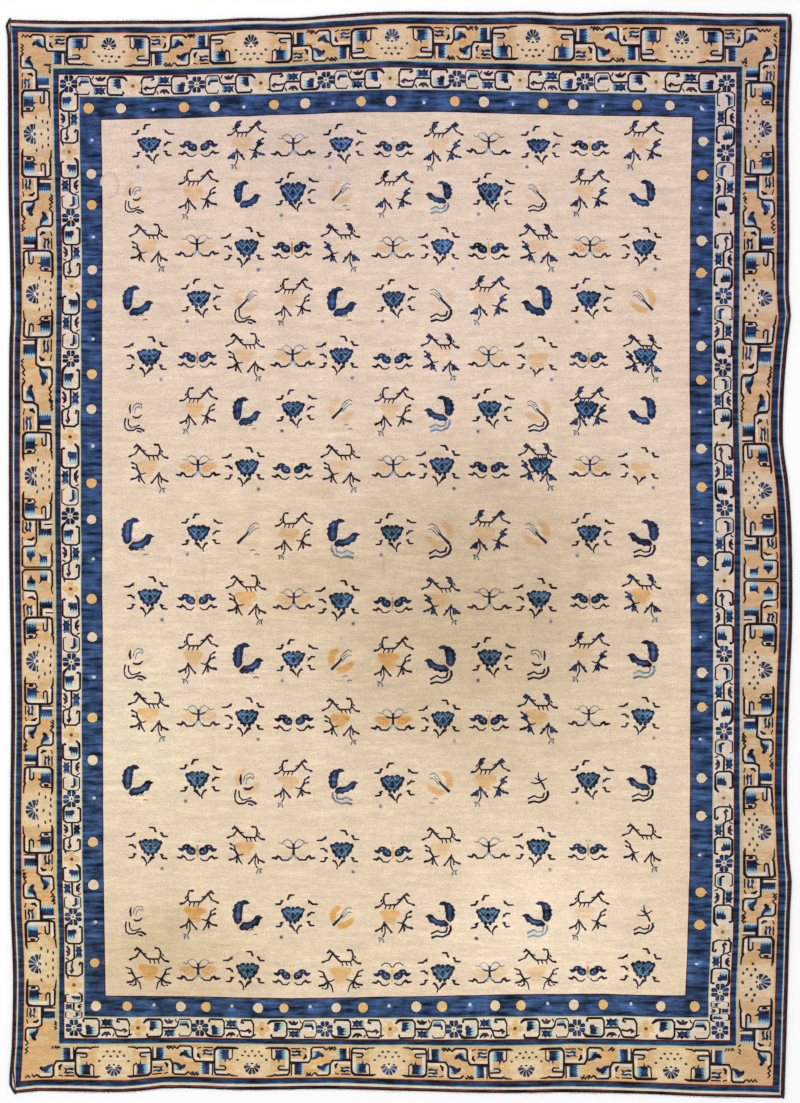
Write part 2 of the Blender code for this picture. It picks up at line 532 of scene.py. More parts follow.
def bandPlace(side, centre, way, outer, inner, nominal, flip=False, stretch=1.0):
    # s runs along a side from centre, t across a band from its outer edge to its inner one
    def place(s, t):
        t = nominal - t if flip else t
        depth = outer - t * (outer - inner) / nominal
        across = field[side] + sideSign[side] * depth
        along = centre + way * s * stretch
        return (across, along) if side in ("left", "right") else (along, across)

    return place


# The dotted blue band

# Places along each side in knots, with G a gold disc, I an ivory one and s a small worn one
dotRow = {
    "top": (
        "G-310 I-278 s-246 G-215 I-184 s-155 G-125 I-94 s-66 G-38 I-8 s25 G56 I85 s114 G144 I174 s204 "
        "G238 I271 s302"
    ),
    "bottom": (
        "I-303 G-272 s-245 I-218 G-193 s-167 I-141 G-115 s-89 I-63 G-36 s-10 I17 G43 s71 I96 G122 "
        "s149 I175 G204 s232 I262 G296"
    ),
    "left": (
        "s415 I381 G350 s318 I285 G251 s216 G181 I146 s109 G72 I35 s-4 G-44 I-82 s-122 G-163 I-205 "
        "s-243 G-287 I-330 s-367 G-408"
    ),
    "right": (
        "s446 I414 G380 s347 I314 G282 s246 I209 G175 s143 I106 G68 s32 I-6 G-44 s-82 I-118 G-152 "
        "s-184 I-223 I-261 s-300 G-337 G-370 s-409"
    ),
}


def bandDot(place, kind, tip):
    # the place's upward side is the one nearer the field
    if kind == "s":
        blob(place, 0.3, -1.6, 9, 7, blend("bandBlue", "royal", 0.35), 8)
        blob(place, 0.3, -0.8, 6.4, 5.2, blend("bandBlue", "royal", 0.9), 8)
        blob(place, 0, 1.4, draw.uniform(2.6, 3.4), 3.6, blend("ivory", "paleSky", 0.5), 7)
        return
    if kind == "I":
        wool = blend("ivory", "goldWorn", 0.35)
    else:
        wool = blend("apricot", "goldWorn", draw.uniform(0.4, 0.9))
    blob(place, 0, 0, 11.4, 11.6, "navy", 12)
    blob(place, draw.uniform(-0.2, 0.2), 0, 10.0, 10.2, wool, 10, lobes=3, lobe=draw.uniform(-0.05, 0.05))
    if tip:
        fill(place, [(-1.6, -4.6), (-0.2, -6.6), (1.2, -4.6)], wool)


towardField = {"bottom": 0.0, "right": math.pi / 2, "top": math.pi, "left": -math.pi / 2}


def layDots():
    for side, row in dotRow.items():
        across = field[side] + sideSign[side] * bands[side]["blueBand"] / 2
        for kind, along in lettered(row):
            spot = (across, along) if side in ("left", "right") else (along, across)
            spot = offRug(*spot)
            spot = (across, spot[1]) if side in ("left", "right") else (spot[0], across)
            bandDot(at(*spot, size=draw.uniform(0.95, 1.05), turn=towardField[side]), kind, side == "right")


# The inner border: rosettes joined by scrolls and leaves

# Rosettes in knots along each side, from the clockwise corner on; b is blue and a apricot
rosettes = {
    "left": "b471 a403 b337 a269 b196 a118 b39 a-34 b-107 a-180 b-244 a-304 b-362 a-430 b-473",
    "bottom": "b-325 a-261 b-199 a-137 b-74 a-9 b55 a116 b178 a247 b321",
    "right": "b-475 b-437 a-377 b-308 a-243 b-176 b-99 a-26 b47 a120 b188 b259 a331 b402 b473",
    "top": "b328 a257 b186 a121 b58 a-9 b-73 a-138 b-202 a-266 b-332",
}
firstFlipped = {"left": False, "bottom": False, "right": True, "top": True}
anticlockwise = {"left": -1, "bottom": 1, "right": 1, "top": -1}
rosetteHub = 9.8  # knots from the band's outer edge
unitLength = 73.0  # knots from one rosette to the next, as charted
innerDepth = 19.8
rosetteReach = 6.5  # where a scroll starts beside its rosette
shortGap, hubs, squeezedLength = 50, 16, 60  # a gap under the first has a squeezed scroll between its hubs


def blueRosette(place):
    blob(place, 0, 0, 9, 9, blend("ivory", "goldWorn", 0.2), 10)
    for i in range(4):
        arm = turnedBy(place, math.pi / 2 * i)
        for side in (-1, 1):
            petal = lambda x, y: arm(x, side * y)
            weave(petal, (
                "area navy 2.6,0.35 8.8,0.35 9.6,2.5 8.4,4.9 4.9,4.7 2.6,2.3",
                "area lit 4.8,1.3 7.8,1.3 7.4,3.2 5,3",
            ), lit=blend("navy", "indigo", draw.uniform(0.3, 0.8)))
    blob(place, 0, 0, 2.2, 2.2, "outline", 6)


rosetteGold = {"left": 0.85, "bottom": 1.0, "top": 0.5, "right": 0.4}  # how much of their apricot is left


def apricotRosette(place, strength):
    worn = blend("goldWorn", "apricot", draw.uniform(0.2, 0.6) * strength)
    for i in range(4):
        arm = turnedBy(place, math.pi / 2 * i)
        blob(arm, 4.9, 0, 7.2, 7.0, blend("ivory", worn, 0.45 + 0.55 * strength), 8)
    blob(place, 0, 0, 7.4, 7.4, blend("ivory", worn, 0.45 + 0.55 * strength), 8)
    blob(place, 0, 0, 3.9, 3.9, blend("outline", "greyBlue", 0.65 - 0.35 * strength), 8)


def scrollUnit(place, towardBlue):
    # the scroll beside the rosette that it opens to
    weave(place, (
        "line outline 6.5,5.5,1.8 9.5,3,3 12,2.4,2.6 26,2.3,2 28.6,5 28.8,15.5 26.5,18 11,18",
        "spot outline 10.8,16.2 3,3.6 6",
        "steps navy+indigo+paleSky 14,25 3.9,11 3",
        "area navy 19.4,4 19.8,9 18,12.6 13.6,12.6 13.2,9 15,8.6 14.4,4.2",
        "line ivory/goldWorn/0.5 13.2,13,1.3 22,13.4 25.6,12.4",
        # the stem to the next scroll, with a star-shaped leaf below it and a dash above
        "line outline 28.8,10,2 44,10.3 46.5,8 47.5,4.5",
        "line plum 31.2,2.8,2 34.5,5,3 39,5.2,2.8 41.6,3.6,1.6",
        "line outline 36,2.4,1.4 38.4,3.6",
        "line outline 44,2.2,1.5 45.4,4.6",
        "area sky 39,11.8 44.6,11.6 43.2,14.4 44.6,17.2 39,17",
        "area navy 30.4,11.4 34,12.4 35.6,11.2 38.4,12.2 42.4,11.4 41,14.4 42.6,18.2 38,17 35.4,18.6 "
        "34,16.8 30.6,17.6 32.2,14.4",
        "area indigo 35,13.4 38.6,13.2 38.8,15.6 35.2,15.8",
    ))
    # the far scroll, thin where it meets a blue rosette
    far = numbers("47.5,4.5 49.2,2.4 60.5,2.3 63,4.6 63.2,13.8 60.8,17.6 49.6,17.8 48.6,15.6")
    stroke(place, far, 1.3 if towardBlue else 2.0, "outline")
    if towardBlue:
        weave(place, (
            "area sky/paleSky/0.4 48.8,6.4 50,4.2 58,3.6 58.4,6.6",
            "area navy 48.4,8.2 49.4,6.2 58,5.6 60.4,8.2 60,11 58,10.6 57.4,8.4",
            "line ivory/goldWorn/0.5 50.6,13.4,1.3 60,12.8",
        ))
    else:
        weave(place, (
            "line outline 63,3.4,2 66.2,4.6,1",
            "line outline 48.6,15.6,1.6 51.6,15.2,2.2",
            "line plum 48,8.4,1.7 53,7.6,1.9 57.4,8.8,2.6 59.4,7.4,2.8 57.6,6,1.6",
        ))


def layInnerBorder():
    for side, row in rosettes.items():
        outer, inner = bands[side]["inner"], bands[side]["blueBand"]
        spots = [(kind, charted(side, outer - rosetteHub, along)) for kind, along in lettered(row)]
        flipped = firstFlipped[side]
        for (kind, here), (nextKind, there) in zip(spots, spots[1:]):
            gap = abs(there - here)
            onward = anticlockwise[side]
            start, stretch = here, gap / unitLength
            if gap <= shortGap:
                stretch = (gap - hubs) / squeezedLength
                start += onward * (hubs / 2 - rosetteReach * stretch)
            place = bandPlace(side, start, onward, outer, inner, innerDepth, flipped, stretch)
            scrollUnit(place, nextKind == "b")
            flipped = not flipped
        for kind, here in spots[:-1]:  # the last one is the next side's first
            centre = bandPlace(side, here, 1, outer, inner, innerDepth)(0, rosetteHub)
            if kind == "b":
                blueRosette(at(*centre, size=draw.uniform(0.87, 0.93)))
            else:
                apricotRosette(at(*centre, size=draw.uniform(0.96, 1.04)), rosetteGold[side])


# The main border: half-rosettes between angular leaf scrolls

# Palmettes in knots along each side from one end to the other, with the kind of scroll round each:
# A has its shaded leaf on the outer side, B on the inner side
palmettes = {
    "left": "A421 B261 A79 A-106 B-255 A-409",
    "right": "A426 B257 A65 A-115 B-277 A-427",
    "top": "A-290 B-148 A-7 B134 A283",
    "bottom": "A-285 B-147 A-10 B127 A272",
}
mainDepth = 36.0  # knots across the gold ground, as charted
bracketBack, linkLength, usualHalf = 43.0, 48.5, 75.0  # knots along it, as charted


def glow(place, left, right, low, high):
    # a paler part of the ground, with ragged ends where the lots of wool interlock
    for inset, share in ((-1.0, 0.35), (1.6, 0.75), (4.4, 1.0)):
        a, b, c, d = left + inset, right - inset, low + max(inset, 0) * 0.5, high - max(inset, 0) * 0.5
        heights = [c + (d - c) * i / 6 for i in range(7)]
        corner = (3, 0, 0, 0, 0, 0, 3)
        points = [(b + draw.uniform(-2.4, 2.0) - back, t) for back, t in zip(corner, heights)]
        points += [(a - draw.uniform(-2.4, 2.0) + back, t) for back, t in zip(corner, reversed(heights))]
        fill(place, points, blend("gold", "glow", share))


# The fan of each side: its middle's distance from the band's outer edge, and its width and depth
fans = {
    "top": (14.6, 0.7, 0.92),
    "bottom": (13.6, 0.8, 0.9),
    "left": (14.8, 0.95, 0.95),
    "right": (15.8, 0.8, 1.05),
}


def palmette(place, side):
    middle, wide, deep = fans[side]
    inky = blend("navy", "greyBlue", 0.12)
    blob(place, 0, middle - 2, 23 * wide, 17 * deep, blend("glow", "ivory", 0.5), 12)
    for angle in (-80, -48, -16, 16, 48, 80):
        petal = turnedBy(lambda s, t: place(s * wide, middle - t * deep), math.radians(90 - angle))
        weave(petal, (
            "area inky 2.2,-0.5 7.4,-1.75 10,-2.2 10.8,0 10,2.2 7.4,1.75 2.2,0.5",
            "area navy/indigo/0.4 5.6,-0.5 9,-1 9,1 5.6,0.5",
        ), inky=inky)
    blob(place, 0, middle - 0.4, 2.6, 2.2, "ivory", 6)
    for s in (-6, 0, 6):
        blob(place, s * wide, middle + (1.6 if s else 2.4), 3.2, 2.0, "outline", 6)


# Seeds round a palmette, in knots along the side from its middle and in from the band's outer edge
seeds = {
    "left": "-16,18.5 16,18.5 -8.6,16.8 8.6,16.8 0,16.2 -13,25 13,25 0,23 -4,30.5 4,30.5 -11,30.5 11,30.5",
    "right": "-18,22 18,22 -12.8,19.4 12.8,19.4 -12.8,27.5 12.8,27.5 -7,23.4 7,23.4 0,31 8.4,30.8",
    "top": "-15,19.7 15,19.7 -3.2,23.8 3.2,23.8 -10,24.2 10,24.2 0,29.3 -6.6,28.8 6.6,28.8",
}
seeds["bottom"] = seeds["top"]
seedSize = {"left": (4.4, 2.3), "right": (3.8, 3.0), "top": (3.4, 2.6), "bottom": (3.4, 2.6)}


def seedMarks(place, side):
    for s, t in numbers(seeds[side]):
        s, t = s + draw.uniform(-0.5, 0.5), t + draw.uniform(-0.4, 0.4)
        wide, high = seedSize[side]
        blob(place, s, t, wide, high, blend("outline", "greyBlue", 0.2), 6, draw.uniform(-0.4, 0.4))


def squiggle(place, s, t, length, rise=1.3):
    points = [(s + length * i / 6, t + (rise if i % 2 else -rise * 0.6)) for i in range(7)]
    for first, second in zip(points, points[1:]):
        if draw.random() < 0.8:
            stroke(place, [first, second], 1.5, "outline")


def bracket(place, knob):
    # the squared scroll that holds a palmette; its back lies at 43
    weave(place, (
        "box ivory 38.2,42.4 6,26",
        "box ivory 26,41.5 28.8,31.6",
        "box gold/apricot/0.3 30,37 16,22",
        "steps indigo+sky+paleSky 32.5,39 5.4,16 4",
        "area navy 26,5.6 33,5.6 34.4,9 33,12 34,15.6 31.6,16 31,20.4 29,16 26,15.6 27,10",
        "box ivory 23.6,25.4 6,14.5",
        "line outline 22.4,4.6,1.6 22.8,14.6 26.4,16.6,1.8",
    ))
    if knob:
        blob(place, 24.6, 10, 2.8, 6.4, "outline", 6)
    weave(place, (
        "box ivory/sky/0.35 31.5,41.5 24,26.4",
        "line outline 43,27.4,1.9 30.8,27,2 29.8,25 31.4,23.1,1.8 37.4,23.1,1.4",
        "line outline 15.5,4.4,1.4 19,3.6,2.6 39.5,3.7,3 42.6,6,2.8 43,10,2.4 43,29.5 41.2,32.4 27,32.7,2.3",
        "line outline 27.4,31.4,2 23.5,33.2 16.5,33.6,1.2",
    ))


def closedLink(place):
    # from a bracket's back to the middle, where a second scroll stands back to back with its neighbour
    weave(place, (
        "area navy 1.4,5.6 5,6.8 8,5.2 13,7 11.2,9 12.8,12 8.4,11.2 5,12.6 1.4,11.4 3,8.8",
        "area indigo/sky/0.25 5,8 10.4,7.2 9.6,9 10.2,10.4 5.4,10.8",
        "line ivory 2,8.6,1.1 5.6,9.2 8.6,8.6",
        "line outline 0.6,3.5,1.6 12,3.2,1.8 13.4,6,1.4",
        "box ivory 2.2,12 12.6,15.1",
        "box ivory 20.6,26.4 4.4,15",
        "line outline 17.2,3.2,1.2 20,2.5 25.5,2.7",
        "line outline 19.6,8,1.6 20,12,2.6 17.6,15,2.2",
        "steps navy+indigo+paleSky 10.4,17.8 19.4,33 5",
        "area navy 8.3,20 13,19.4 13,33 8.3,33 9.4,28",
        "box outline 1.4,9 19.3,22.4",
        "box ivory 2,8.2 23.4,33.2",
        "box outline 3.8,5.4 25.4,33.4",
        "box ivory 28,42 4.8,6.6",
        "steps paleSky+sky+indigo 27.6,37 6.8,15.4 4",
        "area navy 34,6.6 38,8.4 42.4,11 38,13 35.6,16 32.6,13.4 33.8,10",
        "box ivory 34,46 28.2,30.9",
        "steps navy+sky+paleSky 36,46.2 20.4,28 4",
        "area navy 32.8,18.8 37,20.4 41,20.4 39.6,24 41,28 36,27.6 36,23",
        "line outline -0.6,17.3,2.1 22,17.3 26,15 26.6,4.4,2 28.5,2.4,1.9 45,2.4,2 47.3,5,1.9 47.4,31 "
        "45,32.9,2 31,32.9",
        "line outline 31,32.4,2 28,32,1.6 23.5,33.4,1.3",
    ))


def dyeLots(side):
    # the gold ground is knotted from many small lots, some deeper, some bleached
    rows, upright = bands[side], side in ("left", "right")
    length = 980 if upright else 660
    for _ in range(int(length / 8)):
        along = draw.uniform(-length / 2, length / 2)
        wide, high = draw.uniform(8, 16 if upright else 22), draw.uniform(3, 8)
        margin = (wide if upright else high) / 2 + 3.5
        across = field[side] + sideSign[side] * draw.uniform(rows["guard"] + margin, rows["main"] - margin)
        x, y = (across, along) if upright else (along, across)
        wool = blend("gold", draw.choice(("glow", "glow", "apricot")), draw.uniform(0.35, 0.8))
        blob(plain, x, y, wide, high, wool, 6)


def openLink(place):
    # an arm that runs out in a worn tendril
    weave(place, (
        "box outline 1.2,10.8 3.2,4.8",
        "area navy 1.2,6 4.8,7 7.4,5.6 12,7 10.2,9.2 12,12.4 8,11.6 4.6,12.8 1.2,11.8 2.8,9",
        "area indigo/sky/0.25 4.6,8.4 9.6,7.6 8.8,9.2 9.4,10.8 5,11.2",
        "line ivory 1.8,8.8,1.1 5.4,9.4 8,9",
        "box ivory 1.2,17.4 15.2,17.8",
        "box ivory 17.2,20.2 3.7,16.4",
        "line outline 15.8,10.4,1.8 16,13.4,2.8 13.8,15.6,1.8",
        "line outline 13,3.6,1.4 16.8,4.8",
        "box ivory 23.6,33.6 4.2,6.6",
        "steps paleSky+sky+indigo 23,30 6.8,13 3",
        "line navy 22.4,15.4,1.8 26,13.8,3.6 29,10.4,5 32.6,11,3.8",
        "spot outline 33,12 3.4,4.2 6",
        "steps indigo+indigo+paleSky 8,14.2 20,32.6 5",
        "area navy 5.1,20 9.8,20 8.8,26 9.8,32.6 5.1,32.6",
        "box outline 1,9 19.5,21.4",
        "box ivory 2.7,4.7 22,33.6",
        "box outline 1.3,2.7 21,33.4",
        "line outline -0.4,19.1,2.1 19,19.2 20.7,16 21.6,13 21.6,4.7,2 23.7,2.7 33.6,2.5,1.9 36.4,5.4,1.4",
    ))
    squiggle(place, 35, 4, 12, 1.5)
    squiggle(place, 15.5, 33, 8, 1.2)


# From a palmette to its bracket's back, in knots
spineReach = {"left": 43.0, "right": 45.5, "top": 40.8, "bottom": 38.3}


def layMainBorder():
    for side, row in palmettes.items():
        outer, inner = bands[side]["main"] - 0.6, bands[side]["guard"] + 0.5
        spots = [(kind, charted(side, (outer + inner) / 2, along)) for kind, along in lettered(row)]
        spots.sort(key=lambda spot: spot[1])
        dyeLots(side)
        for i, (kind, here) in enumerate(spots):
            face = bandPlace(side, here, 1, outer, inner, mainDepth)
            glow(face, -20, 20, 0.8, 35.2)
            for way in (-1, 1):
                other = spots[i + way] if 0 <= i + way < len(spots) else None
                half = abs(other[1] - here) / 2 if other else usualHalf
                closed = other is not None and other[0] == kind
                spine = spineReach[side] + (half - usualHalf) * 0.05
                flip = kind == "B"
                held = bandPlace(side, here, way, outer, inner, mainDepth, flip, spine / bracketBack)
                bracket(held, side in ("left", "right"))
                if closed:
                    rest = (half - spine) / linkLength
                else:  # a wide gap is only partly taken up by longer leaves
                    rest = 1 + max(half - spine - 31, -2) * 0.024 if other else 1.0
                behind = bandPlace(side, here + way * spine, way, outer, inner, mainDepth, flip, rest)
                (closedLink if closed else openLink)(behind)
            palmette(face, side)
            seedMarks(face, side)


# The field: sprays of flowers, butterflies and moths in rows

fieldChart = (  # one letter a motif, from the left; the rows come from the top
    "PbGgPbGgPbG",
    "cGCPcGCPcGC",
    "GgPbGgPbGgP",
    "CPcGCPcGCPc",
    "PbGgPbGgObB",
    "cGCPcGCPcBC",
    "GgPbGgPbBgO",
    "CPcGCPcGcPC",
    "PbGgPbGgPbG",
    "cGCPcGCPcGC",
    "GgPbGgPbGgP",
    "CPcGCPcGCPC",
    "PbGgPbGgPbG",
    "cGCPcGCPCGc",
    "GgPbGmPgGbP",
)
rowHeights = (410, 362, 308, 255, 198, 145, 88, 21, -42, -101, -161, -224, -292, -358, -415)
columnPlaces = (-249, -201, -152, -106, -57, -6, 43, 90, 140, 190, 244)


def peonyBloom(place, blue, vein, edge):
    weave(place, (
        "area edge -10.6,1.6 -12.4,3.8 -11,6.6 -8.4,6.4 -6.6,8 -4,8.4 -2.2,7 0,8.2 2.2,7 4,8.4 6.6,8 "
        "8.4,6.2 11.2,6.6 12.6,4.2 10.6,1.6 9.6,-2.2 7.4,-3.4 6.6,-6.4 4.4,-6.2 3.2,-8.8 1.4,-8.6 "
        "0,-6 -1.4,-8.8 -3.4,-8.6 -4.4,-6 -7,-6 -7.6,-3.4 -9.8,-1.8",
    ), edge=edge)
    for half in halves(place):
        weave(half, (
            "spot blue 3.4,4 5.6,4.4 6,0.5",
            "spot blue 7.6,2.8 4.4,4.2 6,-0.5",
            "spot blue 3,-2.2 4.6,6.4 6,0.3",
            "line vein 8.8,3.8,1 4.6,-1.2 0.3,3.8",
            "line vein 0.3,-5,1 4.6,-1.2",
            "line vein 1.6,6.4,0.8 4.4,2.6 6.4,5.4",
        ), blue=blue, vein=vein)


def peonySprigs(place, bud):
    weave(place, (
        "line ink -17,10.6,1.8 -12.4,10.8,2.3 -11,12.6,2.2",
        "spot ink -10.8,14 4,2.6 6,0.4",
        "spot ink -4.8,16 3.6,2.8 6,0.6",
        "line ink -4.4,17.4,2.2 -3.2,19.4,2.3 1.2,19.6,1.5",
        "area ink 14.6,15.4 15.6,10.4 17.6,12",
        "line ink 15.8,13.6,2.2 19.6,10.4,2.1 24.6,10.2,1.5",
        "area ink 14.6,2.4 14,-3 16,-0.4",
        "line ink 15.4,-0.6,2.2 18,2.2,2.1 21.6,2,1.5",
        "spot ink 15.8,-7 4.6,2.4 6",
        "line ink 16.2,-8.4,2.2 17.8,-10.6,2 21.6,-10.6,1.6",
        "spot ink -11,-7.6 5.2,2.4 6,0.3",
        "line ink -10.6,-8.6,2.2 -12,-11,2 -16.4,-11.4,1.7",
        "area ink -3.8,-10.8 3.4,-16.4 0.4,-9.6",
        "line ink -3.4,-10.4,2.6 -0.6,-10.6,2.4 2.8,-15.8,1.4",
        "line ink 9,-10,2.8 6.6,-11,2.2 4.2,-15.6,1.6 5,-18.4,1.3",
    ))
    if bud:
        blob(place, -11.2, -21.4, 4.4, 4.8, blend("ground", bud, 0.5), 7)
        blob(place, -11.2, -21.4, 2.8, 3.2, bud, 6)


def peony(place, wide, high, bud, age):
    # the lower rows have gone greyer
    peonySprigs(place, bud)
    bloom = lambda x, y: place(x * wide, y * high)
    blue = blend(blend("navy", "royal", draw.uniform(0.3, 0.6)), "teal", 0.3 * age)
    vein = blend(blue, blend("sky", "paleSky", draw.uniform(0.0, 0.3)), 0.75)
    peonyBloom(bloom, blue, vein, blend("navy", "ink", 0.3 + 0.4 * age))


def goldPeony(place):
    peonySprigs(place, "greyBlue")
    goldBloom(place, draw.uniform(0.6, 0.8), 2.0, -4.0)


def goldBloom(place, strength, dx=0.0, dy=0.0):
    # a worn flower: patches of gold that have thinned out unevenly, broad above and ragged below
    if strength < 0.05:
        return
    for x, y, wide, high, share in (
        (0, 3.6, 24, 12, 0.45), (0.2, 0, 16, 15, 0.5), (0, 4.2, 21, 8.6, 0.8), (-5.6, 5, 9, 6.4, 1.0),
        (5.4, 4.6, 9, 6, 1.0), (0, 0.2, 12, 10, 0.9), (-3, -3.4, 5, 5, 0.75), (2.8, -4.2, 5, 5.4, 0.75),
    ):
        x, y = x + dx + draw.uniform(-1.0, 1.0), y + dy + draw.uniform(-0.9, 0.9)
        wide, high = wide * draw.uniform(0.85, 1.1), high * draw.uniform(0.85, 1.15)
        wool = blend("apricot", "goldWorn", draw.uniform(0.0, 0.3))
        blob(place, x, y, wide, high, blend("ground", wool, share * strength), 7, draw.uniform(-0.3, 0.3))


def leafClump(place, x, y, turn, size):
    leaf = numbers(
        "-0.6,1 2,2.8 1.8,5.2 4.6,4.6 6.4,6.4 7.2,4 9.6,3.2 7.2,1.4 8,-1.4 4.8,-0.8 3.2,-2.2 0,-1.2"
    )
    dye = blend(blend("ink", "navy", 0.7), "royal", draw.uniform(0.0, 0.3))
    fill(turnedBy(place, turn, x, y), [(px * size, py * size) for px, py in leaf], dye)


def blossomBranch(place, leafy):
    weave(place, (
        "line ink -18,11.2,2.3 -14.4,11.8,1.8 -11.6,14.4,1.6 -9.6,16.8,1.8",
        "line ink -9.4,14.6,1.6 -8,13.4,1.7 2.4,13.6,1.8 5.6,17,2.2 9.6,21.4,2.3",
        "line ink -9.6,15,2.1 -10.4,20,2 -8.8,24,1.7 -4.6,24.8,1.4",
        "line ink -7.4,13.6,1.8 -9,9.4,1.1",
        "line ink -3.2,13.6,1.8 -4.800000000000001,9.4,1.1",
        "line ink 1,13.6,1.8 -0.6000000000000001,9.4,1.1",
        "spot ink/maroon/0.3 -16.8,11.6 4.6,2.6 6,0.3",
        "spot ink/maroon/0.3 18.6,13.2 4.6,2.6 6,-0.4",
        "spot ink/maroon/0.3 -6,24.2 4.6,2.6 6,0.2",
        "spot ink/maroon/0.3 13.6,22.6 4.6,2.6 6,-0.6",
        "line ink 3.2,18.2,1.3 7.4,19.4",
        "line ink 8.6,21.2,2.3 12.4,23.8,2.8 14.6,21.4,1.1",
        "line ink 10,20.6,1.8 13.2,15.4,1.6 20,13",
        "spot ink 12.6,16.6 2.2,3.8 6,0.3",
        "spot ink -12.4,17.4 2,3.6 6,-0.4",
    ))
    if leafy:
        leafClump(place, -9.8, 18.2, 0.5, 0.66)
        leafClump(place, 9.0, 20.6, 0.0, 0.62)


def leftSprig(place, leafy):
    weave(place, (
        "spot ink -9.4,-3.8 2.2,3.8 6",
        "line ink -9.4,-4.6,1.8 -12,-8.8,1.9 -17.8,-11.6,2.4",
        "line ink -8.4,-4.6,1.7 -5,-9.6,1.8 -1.6,-13.4,1.4",
        "line ink -8.8,-5,1.5 -8.4,-13,1.4 -10.6,-17.6",
        "line ink -11.4,-8.4,1.8 -11.6,-12.6,1.5",
        "spot ink/maroon/0.3 -16.6,-11 5,2.8 6,0.4",
        "spot ink -2.6,-12.4 4.2,2.6 6,-0.8",
    ))
    if leafy:
        leafClump(place, -10.8, -6.6, 3.6, 0.78)
        leafClump(place, -6.4, -7.4, 5.1, 0.5)
    weave(place, (
        "line ink/greyBlue/0.5 -15.2,-18.2,1.2 -12,-18.4 -10.4,-20 -9.8,-22.8",
        "spot ground/sky/0.55 -13,-20.8 3.4,3.6 6",
        "line ink/greyBlue/0.5 -13.6,-19,1.1 -14.2,-22.6",
    ))


def rightSprig(place, leafy):
    weave(place, (
        "line ink 3.2,-3.2,1 6,-4.2,1.4 9,-4.2,1.9",
        "line ink 8.6,-4.4,2 11.6,0.2,2.2 12.4,4.6,1.5 17.2,7.2,1.3",
        "line ink 11.8,0.2,1.3 16.4,2.2",
        "line ink 9,-4.4,2 12.4,-8,1.9 18.2,-9.4,2.4",
        "line ink 8.8,-4.6,1.8 7.6,-9 4.6,-13.6,1.3",
        "line ink 9.4,-5,1.9 10,-11.4,1.5",
        "spot ink 16.8,-8.8 4.4,2.6 6,-0.3",
        "spot ink 16,6.6 4.4,2.6 6,0.5",
        "spot ink 15.6,1.8 4.4,2.6 6,0.3",
        "spot ink 10,-10.6 4.4,2.6 6,1.5",
    ))
    if leafy:
        leafClump(place, 11, -0.8, 0.7, 0.8)
        leafClump(place, 7.6, -6.4, 4.4, 0.62)
        leafClump(place, 11.4, -6.8, -0.9, 0.5)


def goldBlossom(place, strength, aside, leafy):
    goldBloom(place, strength, aside, 0.8)
    blossomBranch(place, leafy)
    leftSprig(place, leafy)
    rightSprig(place, leafy)


def fourArmBlossom(place, strength):
    # the last row's blossom, between two like sprigs
    goldBloom(place, strength, 1.5, -0.6)
    blossomBranch(place, False)
    for arm in halves(lambda x, y: place(x + 1.5, y)):
        weave(arm, (
            "line ink 6,-3.6,1 10,-5.2,1.5 13.4,-5.4,2.2",
            "line ink 12.6,-5.4,2 15.8,-0.4,2.2 17,3.6,1.6 22,5.2",
            "line ink 15.6,-1,1.6 20.4,-0.4,1.4",
            "line ink 13,-5.6,2.2 16.2,-8.6,2.3 21.4,-9.4,2",
            "line ink 12.6,-5.8,2 12.4,-11,1.9 15.4,-12.6,1.3",
            "line ink 12,-6,1.7 8.8,-9.6,1.5 7.4,-15.6,1.3",
            "spot ink 17.6,-11.6 3,1.8 6",
        ))


def blueBlossom(place, leafy):
    bloom = lambda x, y: place(x - 2, y * 1.06 + 2.4)
    peonyBloom(bloom, blend("navy", "royal", 0.5), "sky", blend("navy", "ink", 0.3))
    blossomBranch(place, leafy)
    leftSprig(place, leafy)
    rightSprig(place, leafy)


def blueButterfly(place, bright, moth=False):
    deep = blend("ink", "navy", 0.6)
    lit = blend(deep, "royal", bright)
    for half in halves(place):
        weave(half, (
            "area deep 1.8,-5.2 1.4,-1 3.2,1.4 5.8,2.2 7.6,4.2 11,4.8 14,3.8 15.2,1.2 19.6,0.8 "
            "17.6,-1.8 14.6,-2.8 12.6,-1.4 11.4,-0.6 10.4,-3.6 7.6,-5.6 4.6,-6.2",
            "area lit 2.8,-4.2 2.6,-1 5.4,0.4 8.2,2.6 9.4,-0.6 8.2,-3.8 5,-5",
            "spot sky/ivory/0.3 4.8,-2.6 1.9,1.6 5,0.4",
            "spot sky/ivory/0.3 7.2,-0.6 1.9,1.6 5,0.4",
            "spot sky/ivory/0.3 11.4,2 1.9,1.6 5,0.4",
            "spot deep/sky/0.6 6.6,2 3.4,1.2 5,0.5",
            "line ink 2.8,-9,1.1 5.6,-11.2,1.5 9.8,-10.8 12,-8,1.8 14.2,-6.8,2.6 16.2,-8.8,2.4 19.6,-8,1.6",
            "spot rust 1.5,7.4 1.2,1.4 5",
        ), deep=deep, lit=lit)
        if moth:
            stroke(half, [(0.6, 7), (3, 10.4), (7.4, 11.4), (11, 8.4)], 1.2, "ink")
    body = blend("goldWorn", draw.choice(("ivory", "apricot", "rust")), 0.45)
    stroke(place, [(0, 4.0), (0, -2), (0, -7.4)], [1.6, 2.4, 1.6], body)


